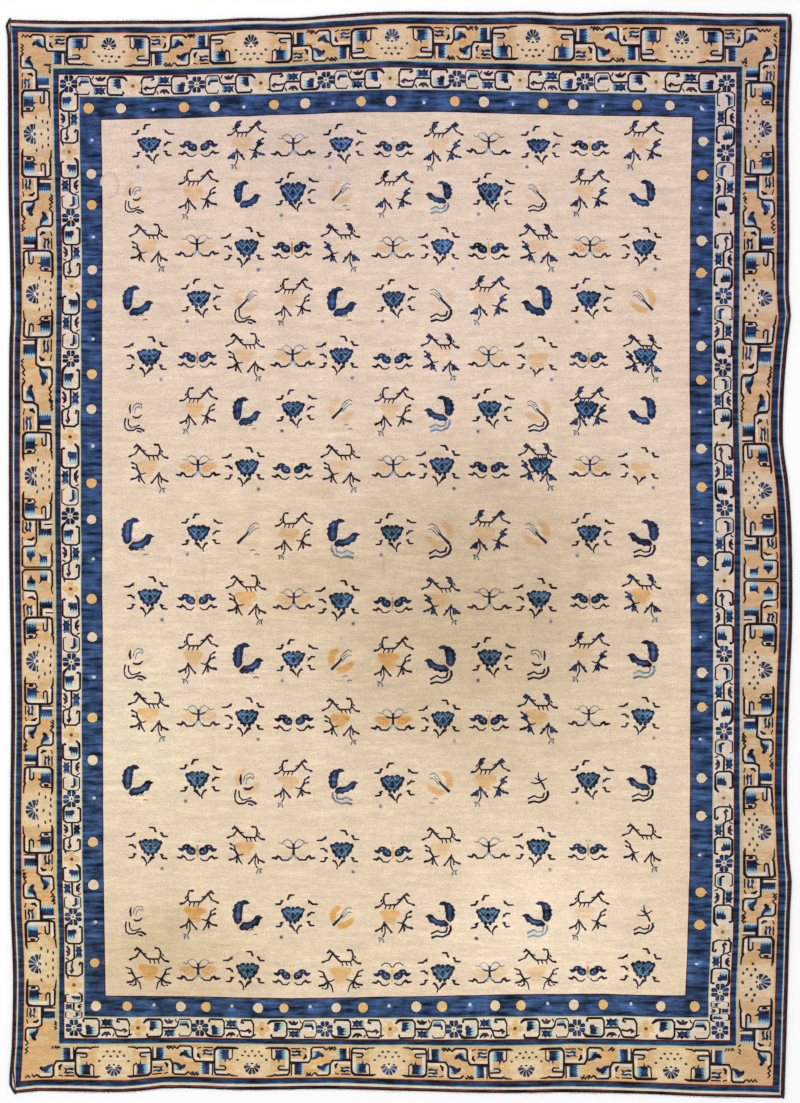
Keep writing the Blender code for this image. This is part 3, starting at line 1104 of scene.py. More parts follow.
def goldButterfly(place, strength):
    wing = numbers("2,1.8 5.4,3.2 9,4.6 13.8,4.4 18,2.4 18.8,-0.6 14.4,-2.4 11,-5.4 5,-6 2,-3")
    inky = blend("ink", "navy", 0.6)
    line = blend("ground", blend("greyBlue", "ink", 0.4), 0.75)
    for half in halves(place):
        if strength > 0.05:
            soft(half, wing, blend("apricot", "goldWorn", 0.2), "ground", strength)
        if strength > 0.5:
            for x, y in numbers("6.4,-1.6 9.6,0.8 9.2,-3.4 13,-1.2"):
                blob(half, x, y, 1.2, 1.2, "rust", 5)
        weave(half, (
            "spot ground/ivory/0.8 6,7 6.6,5.6 7",
            "line line 0.8,4.8,1.2 2.4,9 6,10.8 9.4,9.2 11,6.4 14.4,7.2",
            "line line 9.6,6.8,0.9 7,3.8 3.6,3.6",
            "line inky 1.4,2.2,1.8 4.6,2.4,1.3 7.2,4.2,0.9",
            "line ink 3,-6.6,1.4 5.6,-9.4,1.8 11.4,-9.6 13.2,-6.8,2.2 15.4,-6,2.8 17,-8.2,2.6 21,-7.4,1.6",
            "line ground/sky/0.65 0.5,-2.4,1.8 1.4,-5.2,2.4 3,-8.4,1.6",
        ), line=line, inky=inky)
    stroke(place, [(0, 6.8), (0, 1), (0, -4)], [2.0, 2.5, 2.4], inky)


# How far the outer columns' crescents stand aside, in knots, and how large each row's crescents are
crescentShift = {0: -14, 10: 1}
crescentSize = {1: 0.86, 3: 0.96, 5: 0.93, 7: 1.04, 9: 1.0, 11: 0.98, 13: 0.95}


def stemTail(place, dark, leaf):
    # a stem that curls away below a crescent and ends in an outlined leaf
    weave(place, (
        "area leaf 0.6,-17.2 4.8,-15.4 10.6,-18.4 6.2,-20.8 0.8,-20.4",
        "line dark -9.4,-10.4,2.6 -9.8,-14.6 -7.4,-19,2.5 -1,-22.2,2 5,-21 10.6,-22.6,2.8",
        "line dark -6,-12.4,2 -4.6,-16.8 0.6,-17.4,1.6 4.6,-15.2,1.7 11,-18.4,2.2",
    ), leaf=leaf, dark=dark)


def footTail(place, dark, leaf):
    # the same beside the left edge, where it stands on a pale foot
    weave(place, (
        "area leaf -11,-10 -8,-10 -7.4,-17 -4,-20 -8,-22 -11.4,-19",
        "line dark -10.8,-9.6,2 -11.8,-15,1.7 -11.2,-20.4,1.6 -8,-23,1.8 -2,-22.8,1.9 1,-20.6 "
        "5.4,-20.8,2.2 9.8,-23.4,2.8",
        "line dark -7.6,-10.4,1.9 -7.4,-16,1.6 -4.6,-19.6,1.5 1,-18.6,1.4 4.4,-17.2,2.2",
        "line dark 2,-23.4,1.9 6.4,-24.8",
    ), leaf=leaf, dark=dark)


def faintTail(place):
    pale = blend("ground", "rust", 0.22)
    stroke(place, [(-9, -14), (-8, -18), (-3, -21), (2, -20.4)], 1.2, pale)
    for x, y in ((5.6, -16.2), (9.6, -20.6)):
        dash = [(x - 2.4, y - 0.4), (x, y + 0.4), (x + 2, y - 0.2)]
        stroke(place, dash, 1.3, blend("ground", "maroon", 0.75))


def layTail(place, kind, column):
    shape = footTail if column < 4 else stemTail
    if kind == "d":
        shape(place, blend("ink", "navy", 0.3), blend("ground", "ivory", 0.7))
    elif kind == "p":
        shape(place, "greyBlue", blend("ground", "paleSky", 0.7))
    elif kind == "f":
        faintTail(place)


def blueCrescent(place, joined, age, squat):
    # two scalloped leaves in a curve, with a paler blue along the inside of the curve
    low = lambda x, y: place(x, 15 - (15 - y) * squat)
    deep = blend(blend("navy", "ink", 0.3 + 0.4 * age), "indigo", draw.uniform(0.1, 0.3) * (1 - age))
    inner = blend(deep, blend("indigo", "royal", 0.4), draw.uniform(0.6, 0.9))
    inner = blend(inner, "greyBlue", 0.12 * age)
    weave(low, (
        "area deep 3.8,11.2 0.6,14.4 -3,15 -5.6,13.4 -8.4,13.2 -10.4,10.6 -12.8,9.2 -12.6,6.4 -14.6,4 "
        "-13.4,1.2 -14.6,-1.8 -13.2,-5 -12.6,-8.6 -9.6,-11 -5.8,-9.6 -4.2,-5.4 -4.4,-1 -3.6,3.6 "
        "-3.2,7 -2.2,9.8 0.2,9.8",
        "area deep -6.6,-10.6 -3.4,-8.2 1,-8.2 4.6,-7.2 7.6,-4.4 9.8,-1.2 13.4,-0.6 17.8,-3.4 "
        "14.8,-5.2 13.8,-8.4 12,-11.8 8.8,-12 6.8,-15 3.4,-15 1,-17.2 -2,-16.2 -5.2,-17.2 -7.8,-14.6",
        "line inner -7.6,10,1.6 -8.4,5,2.8 -8.6,-1.6,3.2 -8.8,-7,2.4",
        "line inner -2.8,-12,2 2.6,-12,2.8 7.6,-9.2,2.6 10.8,-5.4,1.6",
    ), deep=deep, inner=inner)
    pale = blend("ground", "greyBlue", 0.35)
    stroke(low, [(-3, 4.6), (-3.6, -3), (-2.8, -6.8), (2.4, -7.2), (5.6, -5.2)], 1.0, pale)
    if joined:
        weave(low, ("line ground/apricot/0.5 -2.8,-4.6,1.2 -4.6,-8.4,1.6 -8.6,-13,1.2",))
    weave(place, (
        "spot ground/rust/0.45 2.4,4.4 1.8,1.5 5",
        "spot ground/rust/0.45 0.8,-1.8 1.8,1.5 5",
        "spot ground/rust/0.45 6.8,0.4 1.8,1.5 5",
        "spot ground/rust/0.45 -0.8,1.6 1.8,1.5 5",
    ))


def goldLeaves(place, strength):
    if strength < 0.05:
        return
    wool = blend("apricot", "goldWorn", draw.uniform(0.0, 0.25))
    left = numbers("-0.4,12 -5,12.4 -9.8,9.4 -12.8,4 -12.6,-2.4 -9.6,-7 -6.4,-5 -5.2,0 -4.4,5 -1,8.2")
    low = numbers("-5.4,-9.8 -2.6,-7 3,-6 8,-3 13.6,-0.6 14.8,-4 11.4,-9 5,-13 -2,-13.4")
    for leaf in (left, low):
        soft(place, leaf, wool, "ground", strength)


def moonCrescent(place, strength):
    # an outlined moon beside a short bar, over a dark smile
    goldLeaves(place, strength)
    weave(place, (
        "spot ground/ivory/0.75 1.8,1.6 8.4,10.4 8",
        "line ink/navy/0.4 -5.6,5.6,1.6 -6.2,1,2.6 -5.6,-3.6,1.9",
        "line ink/navy/0.4 -2.8,-7.4,1.6 -0.4,-8.8,2.3 3.6,-8.4 6.6,-6,1.2",
        "line greyBlue/ink/0.3 -3,-1,1.1 -1.8,4 2,7 6.4,6.2 7.2,2.6",
        "line greyBlue/ink/0.3 -0.6,-3.4,1 0.4,1.4 4,3.6 6.2,1.6",
    ))


def stemCrescent(place, strength):
    # an outlined leaf on a thick dark stem
    goldLeaves(place, strength)
    weave(place, (
        "area ground/ivory/0.7 -0.6,-1.6 1.2,3.4 4,7.2 8,9.8 11.4,8.8 11.6,6.2 8.4,5.4 5.6,2.2 2.2,-2.4",
        "line greyBlue/ink/0.35 -0.8,-0.6,1 1.2,3.8 4,7.6 8,10 11.6,8.6",
        "line greyBlue/ink/0.35 1.8,-1.8,1 5.6,2.4 8.8,5 11.4,4.6",
        "line greyBlue/ink/0.35 2.6,2.6,0.9 6.6,6.6",
        "line ink/navy/0.4 -8.8,-9.4,3 -5.2,-5.8,2.8 -1,-1.8,2.2 2,1.4,1.5",
    ))


def darkSprig(place, strength):
    goldLeaves(place, strength)
    weave(place, (
        "line ink/navy/0.6 -6.4,-8.6,2 -4.4,-4,2.2 -1.2,0,2.3 0.6,5,1.7 0.4,9,1.1",
        "line ink/navy/0.6 -8.4,3,1.2 -4.6,0.6,1.6 -1.4,0,2",
        "line ink/navy/0.6 -2,-1.4,2 3,-2.6,1.7 7.6,-1.8,1.2",
        "line ink/navy/0.6 -0.6,0.6,1.7 4,3.6,1.1",
    ))


def rowBow(row, x):
    # the lower rows sag a little where the wefts were beaten harder
    return -4.2 * math.exp(-(((x + 20) / 150) ** 2)) if row >= 8 else 0.0


# Each row's crescents: m an outlined moon, k a stem, s a sprig, each with how much gold is left in
# tenths, or b blue in two leaves and j blue joined; then its tail: d dark, p pale, f faint, n none
crescents = {
    1: "m3d b0n k4f b0p k2d b0n",
    3: "j0f k3d b0f k2d b0n k6n",
    5: "m1d b0f k3f j0p k4d b0n",
    7: "j0f k1f b0p k4d k5n b0d",
    9: "m2d j0f k7f j0d m0d j0p",
    11: "b0f m4d b0p k6f s0d j0d",
    13: "m1d j0f k8n j0d j0p s1d",
}
# How much gold is left, in tenths, in each row's blossoms and butterflies, from the left
blossomGold = "434 514 413 43 42 64 53 54 747 682 686 56 740 873 874".split()
goldShow = 1.25
# The right half's branches bear leaves down to the twelfth row, apart from these (row, column)
leafyToo, leafless = ((0, 2), (2, 4)), ((5, 5), (9, 5))
butterflyGold = {0: "22", 2: "335", 4: "43", 6: "635", 8: "40", 10: "480", 12: "11", 14: "63"}


def layCrescent(x, y, row, column, letters):
    form, gold, tail = letters
    opens = 1 if column < 6 else -1
    place = at(x, y, opens, crescentSize[row] * draw.uniform(0.97, 1.03))
    strength = int(gold) / 10 * goldShow
    if form in "bj":
        blueCrescent(place, form == "j", row / 13, 0.84 if tail in "dp" else 1.0)
    else:
        {"m": moonCrescent, "k": stemCrescent, "s": darkSprig}[form](place, strength)
    layTail(place, tail, column)


def layField():
    for row, letters in enumerate(fieldChart):
        turned = -1 if row % 2 == 0 and row > 0 else 1
        moons = iter(crescents.get(row, "").split())
        blossomsLeft, butterfliesLeft = iter(blossomGold[row]), iter(butterflyGold.get(row, ""))
        for column, letter in enumerate(letters):
            x = columnPlaces[column] + draw.uniform(-1.0, 1.0)
            if letter in "cC":
                x += crescentShift.get(column, -1)
            y = rowHeights[row] + rowBow(row, x) + draw.uniform(-1.0, 1.0)
            x, y = offRug(x, y)
            size = draw.uniform(0.98, 1.05)
            leafy = (column >= 5 or (row, column) in leafyToo) and row < 12 and (row, column) not in leafless
            if letter == "P":
                bud = None if row == 14 else blend("navy", "greyBlue", draw.uniform(0.5, 1.0))
                wide, high = 1.06 if row == 1 else 0.98, (0.92, 1.3, 1.04)[min(row, 2)]
                peony(at(x, y, turned, size), wide, high, bud, row / 14)
            elif letter == "O":
                goldPeony(at(x, y, turned, size))
            elif letter in "bm":
                blueButterfly(at(x, y, 1, size), draw.uniform(0.05, 0.32), letter == "m")
            elif letter == "g":
                goldButterfly(at(x, y, 1, size), int(next(butterfliesLeft)) / 10 * goldShow)
            elif letter == "B":
                blueBlossom(at(x, y - 2, turned, size), leafy)
            elif letter == "G" and row == len(fieldChart) - 1:
                fourArmBlossom(at(x, y - 2, turned, size), int(next(blossomsLeft)) / 10 * goldShow)
            elif letter == "G":
                strength = int(next(blossomsLeft)) / 10 * goldShow
                goldBlossom(at(x, y - 2, turned, size), strength, -4 if turned == 1 else 1.5, leafy)
            else:
                layCrescent(x, y, row, column, next(moons))


def layMarks():
    # a ring left by a pot, and a few faded stains
    angles = [math.pi * i / 9 for i in range(-5, 10)]
    ringPoints = [(-289 + 8.5 * math.cos(a), 374 + 12.5 * math.sin(a)) for a in angles]
    stroke(plain, ringPoints, 2.2, blend("ground", "groundShade", 0.8))
    stains = numbers("-228,-8,3,18 -195,-14,3,26 -15,-12,4,22 118,-5,9,6 96,112,16,5 -40,230,14,6")
    for x, y, wide, high in stains:
        blob(plain, x, y, wide, high, blend("ground", "gold", 0.3), 8)


layBands()
layMarks()
layField()
layDots()
layInnerBorder()
layMainBorder()
print("the design is charted:", len(shapes), "shapes")

# The knotted rug itself

rug = {
    "edgeHeight": 0.0060,  # metres, where the pile is rounded over at its edge
    "edgeRound": 0.0070,
    "relief": 0.0013,  # how unevenly the pile lies
    "reliefWaves": ((1.0, 0.36, 0.5), (0.35, 0.11, 4.0)),  # share, metres across, place in the pattern
    "gridStep": 30.0,  # knots between the points that carry the unevenness
    "longest": 21.0,  # knots; longer lines of the chart are divided
    "backLeast": 600.0,  # square knots; smaller shapes are left out of the underside
}


def divided(points, longest):
    found = []
    for a, b in zip(points, points[1:] + points[:1]):
        steps = max(1, math.ceil(math.hypot(b[0] - a[0], b[1] - a[1]) / longest))
        found += [(a[0] + (b[0] - a[0]) * k / steps, a[1] + (b[1] - a[1]) * k / steps) for k in range(steps)]
    return found


def net(loops, dyesUsed, spare, lines):
    # one net of triangles through every outline, and the dye of the last shape over each triangle
    points = [point for loop in loops + lines for point in loop] + spare
    faces, edges, start = [], [], 0
    for i, loop in enumerate(loops + lines):
        order = list(range(start, start + len(loop)))
        if i < len(loops):
            faces.append(order)
        else:
            edges += list(zip(order, order[1:] + order[:1]))
        start += len(loop)
    verts, _, tris, _, _, owners = delaunay_2d_cdt([Vector(p) for p in points], edges, faces, 1, 1e-5, True)
    found = [(tri, dyesUsed[max(owner)]) for tri, owner in zip(tris, owners) if owner]
    return verts, found


def boundaryLoop(tris):
    following, inner = {}, set()
    for (a, b, c), _ in tris:
        for edge in ((a, b), (b, c), (c, a)):
            inner.add(edge)
    for a, b in inner:
        if (b, a) not in inner:
            following[a] = b
    start = min(following)
    loop = [start]
    while following[loop[-1]] != start:
        loop.append(following[loop[-1]])
    return loop


def insetOutline(inset):
    corners = rectangle({side: outerDepth[side] - inset for side in outerDepth})
    return [onRug(x, y) for x, y in divided(corners, rug["longest"])]


def gridPoints():
    step = rug["gridStep"]
    low = (field["left"] - outerDepth["left"] + step, field["bottom"] - outerDepth["bottom"] + step)
    wide = int((field["right"] + outerDepth["right"] - low[0]) / step)
    high = int((field["top"] + outerDepth["top"] - low[1]) / step)
    return [onRug(low[0] + i * step, low[1] + j * step) for i in range(wide) for j in range(high)]


def pileHeight(x, y):
    # metres in, metres out: rounded over at the edge, and lying a little unevenly
    acrossIn = min(x - outerEdge["left"](y), outerEdge["right"](y) - x)
    inside = min(acrossIn, y - outerEdge["bottom"](x), outerEdge["top"](x) - y)
    near = min(max(inside / rug["edgeRound"], 0.0), 1.0)
    height = rug["edgeHeight"] + (rugTop - rug["edgeHeight"]) * math.sin(near * math.pi / 2)
    wave = sum(
        share * noise.noise(Vector((x / size, y / size, place))) for share, size, place in rug["reliefWaves"]
    )
    return height + rug["relief"] * wave * near


def makeRug():
    loops, dyesUsed, large = [], [], []
    for points, dye in shapes:
        loop = [onRug(x, y) for x, y in divided(points, rug["longest"])]
        if len(loop) < 60 and crosses(loop):
            continue  # a sliver that the loom's wander has folded over
        if loops and signedArea(points) > rug["backLeast"]:
            large.append(len(loops))
        loops.append(loop)
        dyesUsed.append(dye)
    verts, tris = net(loops, dyesUsed, gridPoints(), [insetOutline(0.8), insetOutline(1.8)])
    loop = boundaryLoop(tris)
    rim = [tuple(verts[i]) for i in loop]
    backDyes = [dyesUsed[i] for i in [0] + large]
    backVerts, backTris = net([rim] + [loops[i] for i in large], backDyes, [], [])
    backLoop = boundaryLoop(backTris)
    if len(backLoop) != len(loop):
        raise SystemExit("the underside's edge doesn't match the pile's")

    places = [(x * knot, y * knot, pileHeight(x * knot, y * knot)) for x, y in verts]
    first = len(places)
    places += [(x * knot, y * knot, 0.0) for x, y in backVerts]
    faces = [tri for tri, _ in tris]
    colours = [dye for _, dye in tris]
    faces += [[first + i for i in reversed(tri)] for tri, _ in backTris]
    colours += [dye for _, dye in backTris]
    finder = kdtree.KDTree(len(backLoop))
    for i in backLoop:
        finder.insert((*backVerts[i], 0.0), first + i)
    finder.balance()
    below = [finder.find((*point, 0.0))[1] for point in rim]
    for i, j in zip(range(len(loop)), list(range(1, len(loop))) + [0]):
        faces += [[loop[i], below[i], below[j]], [loop[i], below[j], loop[j]]]
        colours += [linear(dyes["blackBlue"])] * 2

    made = newPiece("knottedRug", places, faces, woolPile(), woolBack())
    mesh = made.data
    dyeLayer = mesh.color_attributes.new("dye", "FLOAT_COLOR", "CORNER")
    dyeLayer.data.foreach_set("color", [c for dye in colours for _ in range(3) for c in (*dye, 1.0)])
    wide, high = bodyHigh.x - bodyLow.x, bodyHigh.y - bodyLow.y
    layer = mesh.uv_layers.new(name="OFBake")
    flatMap = []
    for number, face in enumerate(faces):
        for i in face:
            u, v = (places[i][0] - bodyLow.x) / wide, (places[i][1] - bodyLow.y) / high
            back = len(tris) <= number
            flatMap += [0.91 + 0.085 * (1 - u) if back else 0.002 + 0.9 * u, 0.002 + 0.99 * v]
    layer.data.foreach_set("uv", flatMap)
    for number, polygon in enumerate(mesh.polygons):
        polygon.material_index = 0 if number < len(tris) else 1
    print("the rug has", len(tris), "triangles of pile,", len(backTris), "below")
    return made


# The wool


def patchy(tree, place, size, detail, roughness, least, most, low=0.3, high=0.7):
    # a soft uneven pattern from least to most, its patches' size along each axis in metres
    spread = addNode(tree, "VectorMath", {0: place, 1: [1 / s for s in size]}, operation="MULTIPLY")
    cloud = addNode(
        tree, "TexNoise", {"Vector": spread, "Scale": 1.0, "Detail": detail, "Roughness": roughness}
    )
    return addNode(tree, "MapRange", {0: cloud, 1: low, 2: high, 3: least, 4: most})


pile = {
    "knotDepth": (0.6, 0.0009),  # strength, metres
    "knotTone": (0.90, 1.10),  # each knot takes the dye a little differently
    # uneven tones: the patches' width and height in metres, detail, roughness, then the least and most
    "weft": (0.035, 0.0044, 2.0, 0.6, 0.93, 1.07),  # rows of knots packed a little more or less tightly
    "mottle": (0.24, 0.035, 3.0, 0.6, 0.94, 1.06),
    "dyeLots": (0.12, 0.019, 4.0, 0.65, 0.15, 1.85, 0.37, 0.63),  # how the blue varies from lot to lot
    "broadLots": (0.05, 0.07, 3.0, 0.6, 0.62, 1.38, 0.34, 0.66),
    "lotShare": (1.0, 0.08, 0.05, 0.45),  # how the lots show in dark wool and in pale, and what those are
    "ageing": (1.3, 1.0, 1.0, 0.5, 0.0, 0.3, 0.0, 1.0),
    "patchEdge": (0.3, 0.22, 4.0, 0.65, -0.45, 0.45, 0.0, 1.0),
    "bothEnds": (1.6, -1.6, 0.9),  # metres from the middle where the ends' tints are full, and how full
    "rightSide": (1.1, 1.3),
    "upperTint": (0.96, 0.945, 1.03),  # the upper end is a little pinker
    "lowerTint": (1.06, 1.07, 0.98),  # the lower end has yellowed
    "rightTint": (0.90, 0.90, 0.99),  # and the right-hand borders are greyer
    # parts of the field that use and washing have changed: where, how far they reach, and their tint
    "patches": (
        (0.30, -0.20, 0.95, 0.92, (0.78, 0.75, 0.67)),  # the dull middle
        (-0.45, -0.05, 0.45, 0.5, (0.97, 0.94, 0.88)),
        (0.55, -1.42, 0.62, 0.5, (1.13, 1.16, 1.22)),
        (-0.92, -1.58, 0.55, 0.36, (0.86, 0.82, 0.74)),
        (-0.33, 1.55, 0.42, 0.34, (0.91, 0.92, 0.96)),
        (-1.0, -0.66, 0.4, 0.5, (1.05, 1.10, 1.08)),
        (0.2, 0.95, 0.35, 0.6, (1.03, 1.03, 1.06)),
    ),
    "roughness": 0.95,
    "sheen": 0.03,
}


def woolPile():
    # hand-knotted wool pile: each knot's cut end is matt and slightly its own shade, and the blue changes
    # in uneven streaks along the wefts from one lot of wool to the next
    material, tree = startMaterial("knottedWoolPile")
    place = addNode(tree, "TexCoord").outputs["Object"]
    dye = addNode(tree, "Attribute", attribute_name="dye")
    uneven = {
        name: patchy(tree, place, (pile[name][0], pile[name][1], 1.0), *pile[name][2:])
        for name in ("weft", "mottle", "dyeLots", "broadLots", "ageing", "patchEdge")
    }

    # tone: each knot, its row and its lot of wool
    knots = addNode(tree, "VectorMath", {0: place, 1: (1 / knot, 1 / knot, 1.0)}, operation="MULTIPLY")
    cells = addNode(tree, "VectorMath", {0: knots}, operation="FLOOR")
    each = addNode(tree, "TexWhiteNoise", {"Vector": cells})
    eachTone = addNode(tree, "MapRange", {0: each, 3: pile["knotTone"][0], 4: pile["knotTone"][1]})
    grain = addNode(tree, "Math", {0: eachTone, 1: uneven["weft"]}, operation="MULTIPLY")
    lots = addNode(tree, "Math", {0: uneven["dyeLots"], 1: uneven["broadLots"]}, operation="MULTIPLY")
    light = addNode(tree, "RGBToBW", {0: dye})
    inDark, inPale, darkest, palest = pile["lotShare"]
    dark = addNode(tree, "MapRange", {0: light, 1: darkest, 2: palest, 3: inDark, 4: inPale})
    lotTone = addNode(tree, "Mix", {0: dark, 2: 1.0, 3: lots})
    tone = addNode(tree, "Math", {0: grain, 1: uneven["mottle"]}, operation="MULTIPLY")
    tone = addNode(tree, "Math", {0: tone, 1: lotTone}, operation="MULTIPLY")

    # tint: the two ends, the worn patches and the greyer side
    axes = addNode(tree, "SeparateXYZ", {0: place}).outputs
    upper, lower, fullness = pile["bothEnds"]
    down = addNode(tree, "MapRange", {0: axes[1], 1: upper, 2: lower, 4: fullness})
    right = addNode(tree, "MapRange", {0: axes[0], 1: pile["rightSide"][0], 2: pile["rightSide"][1]})
    aged = addNode(tree, "Math", {0: down, 1: uneven["ageing"]}, operation="ADD")
    tints = [(aged, pile["upperTint"], pile["lowerTint"])]
    for x, y, wide, high, patchTint in pile["patches"]:
        away = addNode(tree, "VectorMath", {0: place, 1: (x, y, 0.0)}, operation="SUBTRACT")
        away = addNode(tree, "VectorMath", {0: away, 1: (1 / wide, 1 / high, 1.0)}, operation="MULTIPLY")
        reach = addNode(tree, "VectorMath", {0: away}, operation="LENGTH").outputs["Value"]
        reach = addNode(tree, "Math", {0: reach, 1: uneven["patchEdge"]}, operation="ADD")
        share = addNode(tree, "MapRange", {0: reach, 1: 1.0, 2: 0.1}, interpolation_type="SMOOTHSTEP")
        tints.append((share, (1, 1, 1), patchTint))
    tints.append((right, (1, 1, 1), pile["rightTint"]))
    colour = addNode(tree, "VectorMath", {0: dye, 3: tone}, operation="SCALE")
    for share, near, far in tints:
        tint = addNode(tree, "Mix", {0: share, 6: (*near, 1), 7: (*far, 1)}, data_type="RGBA").outputs[2]
        colour = addNode(tree, "VectorMath", {0: colour, 1: tint}, operation="MULTIPLY")
    strength, depth = pile["knotDepth"]
    bump = addNode(tree, "Bump", {"Strength": strength, "Distance": depth, "Height": grain})
    finishMaterial(tree, colour, {
        "Normal": bump, "Roughness": pile["roughness"], "Specular IOR Level": 0.12,
        "Sheen Weight": pile["sheen"], "Sheen Roughness": 0.6,
    })
    return material


back = {
    "weft": 0.0039,  # metres from one row of knots to the next
    "bandLength": 0.314,  # metres between the bands of a wave pattern at a scale of 1
    "cotton": "#CDBFA6",
    "cottonShare": 0.38,
    "wool": (0.004, 0.003, 1.0),  # metres across each knot's tone
    "woolTone": (0.86, 1.08),
    "bump": (0.5, 0.0006),
    "roughness": 0.9,
}


def woolBack():
    # the underside: the backs of the knots in rows, with the cotton wefts showing between them
    material, tree = startMaterial("knottedWoolBack")
    place = addNode(tree, "TexCoord").outputs["Object"]
    dye = addNode(tree, "Attribute", attribute_name="dye")
    row = addNode(
        tree, "TexWave", {"Vector": place, "Scale": back["bandLength"] / back["weft"], "Distortion": 0.4},
        wave_type="BANDS", bands_direction="Y",
    ).outputs["Fac"]
    share = addNode(tree, "MapRange", {0: row, 1: 0.5, 4: back["cottonShare"]})
    cotton = (*linear(back["cotton"]), 1)
    mixed = addNode(tree, "Mix", {0: share, 6: dye, 7: cotton}, data_type="RGBA").outputs[2]
    tone = patchy(tree, place, back["wool"], 2.0, 0.5, *back["woolTone"])
    colour = addNode(tree, "VectorMath", {0: mixed, 3: tone}, operation="SCALE")
    strength, depth = back["bump"]
    bump = addNode(tree, "Bump", {"Strength": strength, "Distance": depth, "Height": row})
    finishMaterial(
        tree, colour, {"Normal": bump, "Roughness": back["roughness"], "Specular IOR Level": 0.25}
    )
    return material


pileRug = makeRug()
print("the knotted rug is made")

# Selvedge cords, wrapped in dark wool

selvedge = {
    "ringStep": 0.0022,
    "sides": 10,
    "wrapPitch": 0.0066,  # metres from one turn of the wrapping to the next
    "wrapDepth": 0.07,  # as a share of the cord's radius
    "uneven": 0.05,  # as a share of its radius
    "unevenLength": 0.03,
    "halfWidth": 0.0055,
    "taper": (4, 0.55),  # rings at each end, and how much thinner the cord gets there
    "colour": "#17131C",
    "worn": "#4A4048",
    "wear": ((0.02, 0.05, 0.02), 3.0, 0.6, 0.0, 0.55, 0.5, 0.8),
    "yarn": ((0.004, 0.0012, 0.004), 2.0, 0.5),
    "yarnTone": (0.75, 1.2),
    "bump": (0.7, 0.0005),
    "roughness": 0.9,
    "sheen": 0.2,
}


def cordLine(name):
    # the cord's middle along the side, and where it starts and ends, as packed
    rows = {}
    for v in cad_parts[name].data.vertices:
        rows.setdefault(round(v.co.y, 5), []).append(v.co.x)
    middle = reader([(y, (min(xs) + max(xs)) / 2) for y, xs in rows.items()])
    return middle, min(rows), max(rows)


def makeSelvedge(node):
    low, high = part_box(node)
    middle, first, last = cordLine(node)
    halfHeight = high.z / 2
    endRings, thinner = selvedge["taper"]
    sides, count = selvedge["sides"], int((last - first) / selvedge["ringStep"])
    verts, faces = [], []
    for i in range(count + 1):
        y = first + (last - first) * i / count
        near = min(i, count - i) / endRings
        taper = math.sqrt(min(near, 1.0)) * thinner + 1 - thinner
        for k in range(sides):
            angle = 2 * math.pi * (k + 0.5) / sides
            turn = math.sin(2 * math.pi * y / selvedge["wrapPitch"] + angle)
            wrap = 1 + selvedge["wrapDepth"] * (turn - 0.6)
            lump = noise.noise(Vector((angle, y / selvedge["unevenLength"], low.x)))
            reach = taper * wrap * (1 + selvedge["uneven"] * lump)
            x = middle(y) + selvedge["halfWidth"] * reach * math.cos(angle)
            verts.append((x, y, max(halfHeight * (1 + reach * math.sin(angle)), 0.0)))
    for i in range(count):
        for k in range(sides):
            n = (k + 1) % sides
            faces.append((i * sides + k, i * sides + n, (i + 1) * sides + n, (i + 1) * sides + k))
    faces.append(tuple(range(sides)))
    faces.append(tuple(reversed(range(count * sides, (count + 1) * sides))))
    made = newPiece(node + "Wool", verts, [tuple(reversed(face)) for face in faces], selvedgeWool)
    made.data.shade_smooth()
    return made


def yarnMaterial(name, look):
    # one spun fibre: a clean colour and a worn one in patches, with the yarn's own turns in tone and height
    material, tree = startMaterial(name)
    place = addNode(tree, "TexCoord").outputs["Object"]
    worn = patchy(tree, place, *look["wear"])
    yarn = patchy(tree, place, *look["yarn"], 0.0, 1.0, 0.0, 1.0)
    clean, soiled = ((*linear(look[key]), 1) for key in ("colour", "worn"))
    mixed = addNode(tree, "Mix", {0: worn, 6: clean, 7: soiled}, data_type="RGBA").outputs[2]
    least, most = look["yarnTone"]
    tone = addNode(tree, "MapRange", {0: yarn, 1: 0.3, 2: 0.7, 3: least, 4: most})
    colour = addNode(tree, "VectorMath", {0: mixed, 3: tone}, operation="SCALE")
    strength, depth = look["bump"]
    bump = addNode(tree, "Bump", {"Strength": strength, "Distance": depth, "Height": yarn})
    finishMaterial(tree, colour, {
        "Normal": bump, "Roughness": look["roughness"],
        "Specular IOR Level": 0.3, "Sheen Weight": look["sheen"],
    })
    return material


# near-black wool yarn wound round the edge warps: matt, with paler worn fibres on its ridges
selvedgeWool = yarnMaterial("wrappedWool", selvedge)
cords = {node: makeSelvedge(node) for node in ("selvedge_left", "selvedge_right")}
print("the selvedge cords are made")

# Worn warp ends

warps = {
    "pitch": 0.0021,  # metres between the strands that are left
    "thick": 0.0011,
    "least": 0.003,
    "most": {"top": 0.0080, "bottom": 0.0105},
    "sections": 4,
    "wearWaves": ((0.9, 0.22, 2.0), (0.5, 0.05, 6.0)),  # share, metres across, place in the pattern
    "lean": 0.0012,
    "curl": 0.0018,
    "lift": 0.0016,  # where a strand leaves the rug
    "thinning": 0.55,
    "sides": (("top", 1), ("bottom", -1)),
    "tucked": 0.0012,  # how far each strand starts inside the rug's edge
    # grey-blue: cotton greyed with handling, darkened and blued further by painted shade from between the
    # strands
    "colour": "#8C939C",
    "worn": "#6E6660",
    "wear": ((0.03, 0.012, 0.01), 3.0, 0.6, 0.0, 0.9, 0.35, 0.7),
    "yarn": ((0.0007, 0.0016, 0.001), 1.0, 0.5),
    "yarnTone": (0.85, 1.1),
    "bump": (0.5, 0.0002),
    "roughness": 0.88,
    "sheen": 0.0,
}


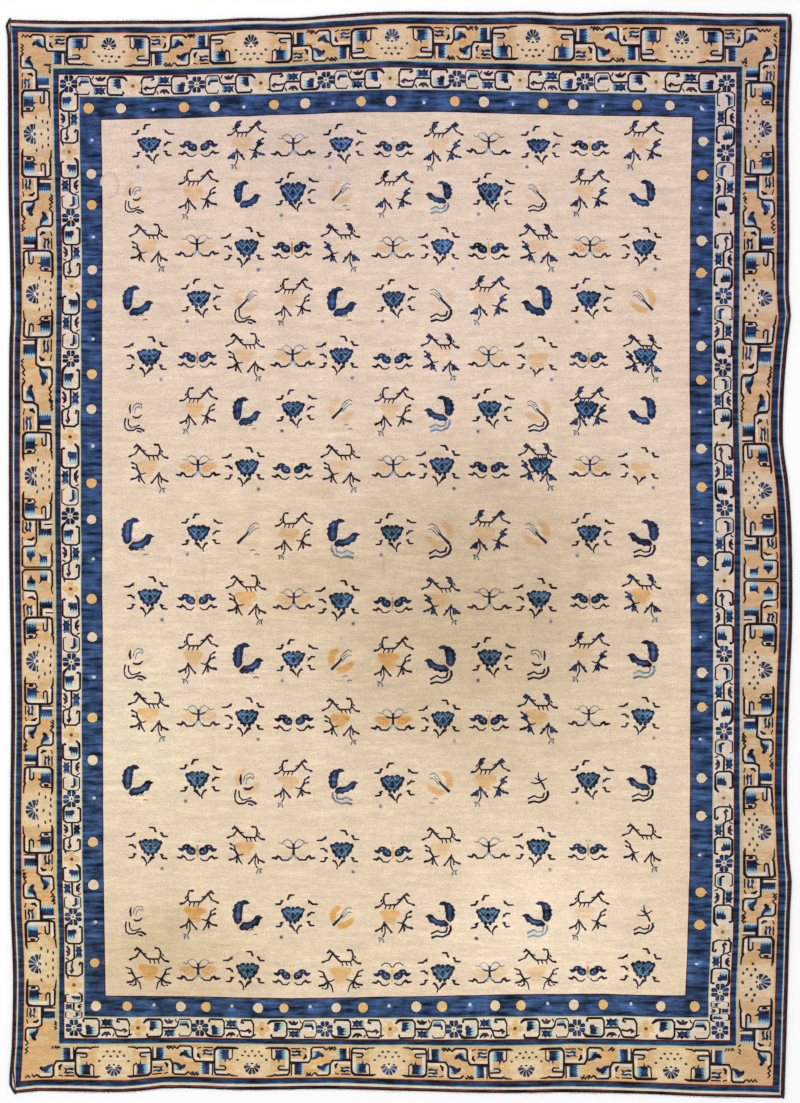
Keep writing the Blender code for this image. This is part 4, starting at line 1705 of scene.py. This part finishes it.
def strand(verts, faces, x, y, way, length, lean, curl, thick):
    # one three-sided strand from under the rug's edge out over the floor
    start, sections = len(verts), warps["sections"]
    for i in range(sections + 1):
        share = i / sections
        centre = Vector((x + lean * share + curl * share**2, y + way * length * share, 0.0))
        centre.z = warps["lift"] * (1 - share) ** 2 + thick * 0.5
        radius = thick / 2 * (1 - warps["thinning"] * share)
        for k in range(3):
            angle = 2 * math.pi * k / 3 + math.pi / 2
            across, up = radius * math.cos(angle), radius * math.sin(angle)
            verts.append((centre.x + across, centre.y, centre.z + up))
    for i in range(sections):
        for k in range(3):
            n = (k + 1) % 3
            quad = (start + i * 3 + k, start + i * 3 + n, start + (i + 1) * 3 + n, start + (i + 1) * 3 + k)
            faces.append(quad if way < 0 else tuple(reversed(quad)))
    first, last = (start, start + 1, start + 2), tuple(start + sections * 3 + k for k in (2, 1, 0))
    faces.extend((first, last) if way > 0 else (tuple(reversed(first)), tuple(reversed(last))))


def makeFringe(node, side, way):
    low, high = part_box(node)
    verts, faces = [], []
    count = int((high.x - low.x) / warps["pitch"])
    for i in range(count):
        x = low.x + (i + draw.uniform(0.1, 0.9)) * warps["pitch"]
        wear = 0.5
        for share, size, place in warps["wearWaves"]:
            wear += share * noise.noise(Vector((x / size, way, place)))
        wear = min(max(wear, 0.0), 1.0)
        length = warps["least"] + (warps["most"][side] - warps["least"]) * wear * draw.uniform(0.55, 1.0)
        lean, curl = draw.gauss(0, warps["lean"]), draw.gauss(0, warps["curl"])
        thick = warps["thick"] * draw.uniform(0.75, 1.15)
        tucked = warps["tucked"]
        strand(verts, faces, x, outerEdge[side](x) - way * tucked, way, length + tucked, lean, curl, thick)
    return newPiece(node + "Cotton", verts, faces, warpCotton)


# undyed plied cotton, gone grey with handling; its grey-blue also holds painted shade, the shadow between
# and under the strands
warpCotton = yarnMaterial("cottonWarp", warps)
fringes = {"fringe_" + side: makeFringe("fringe_" + side, side, way) for side, way in warps["sides"]}
print("the worn warp ends are made")

# The pieces take the CAD parts' places

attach(pileRug, "root")
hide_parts("rug_body")
for pieces, slotName in ((cords, "selvedge_wool"), (fringes, "fringe_cotton")):
    for node, piece in pieces.items():
        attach(piece, "root")
        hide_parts(node)
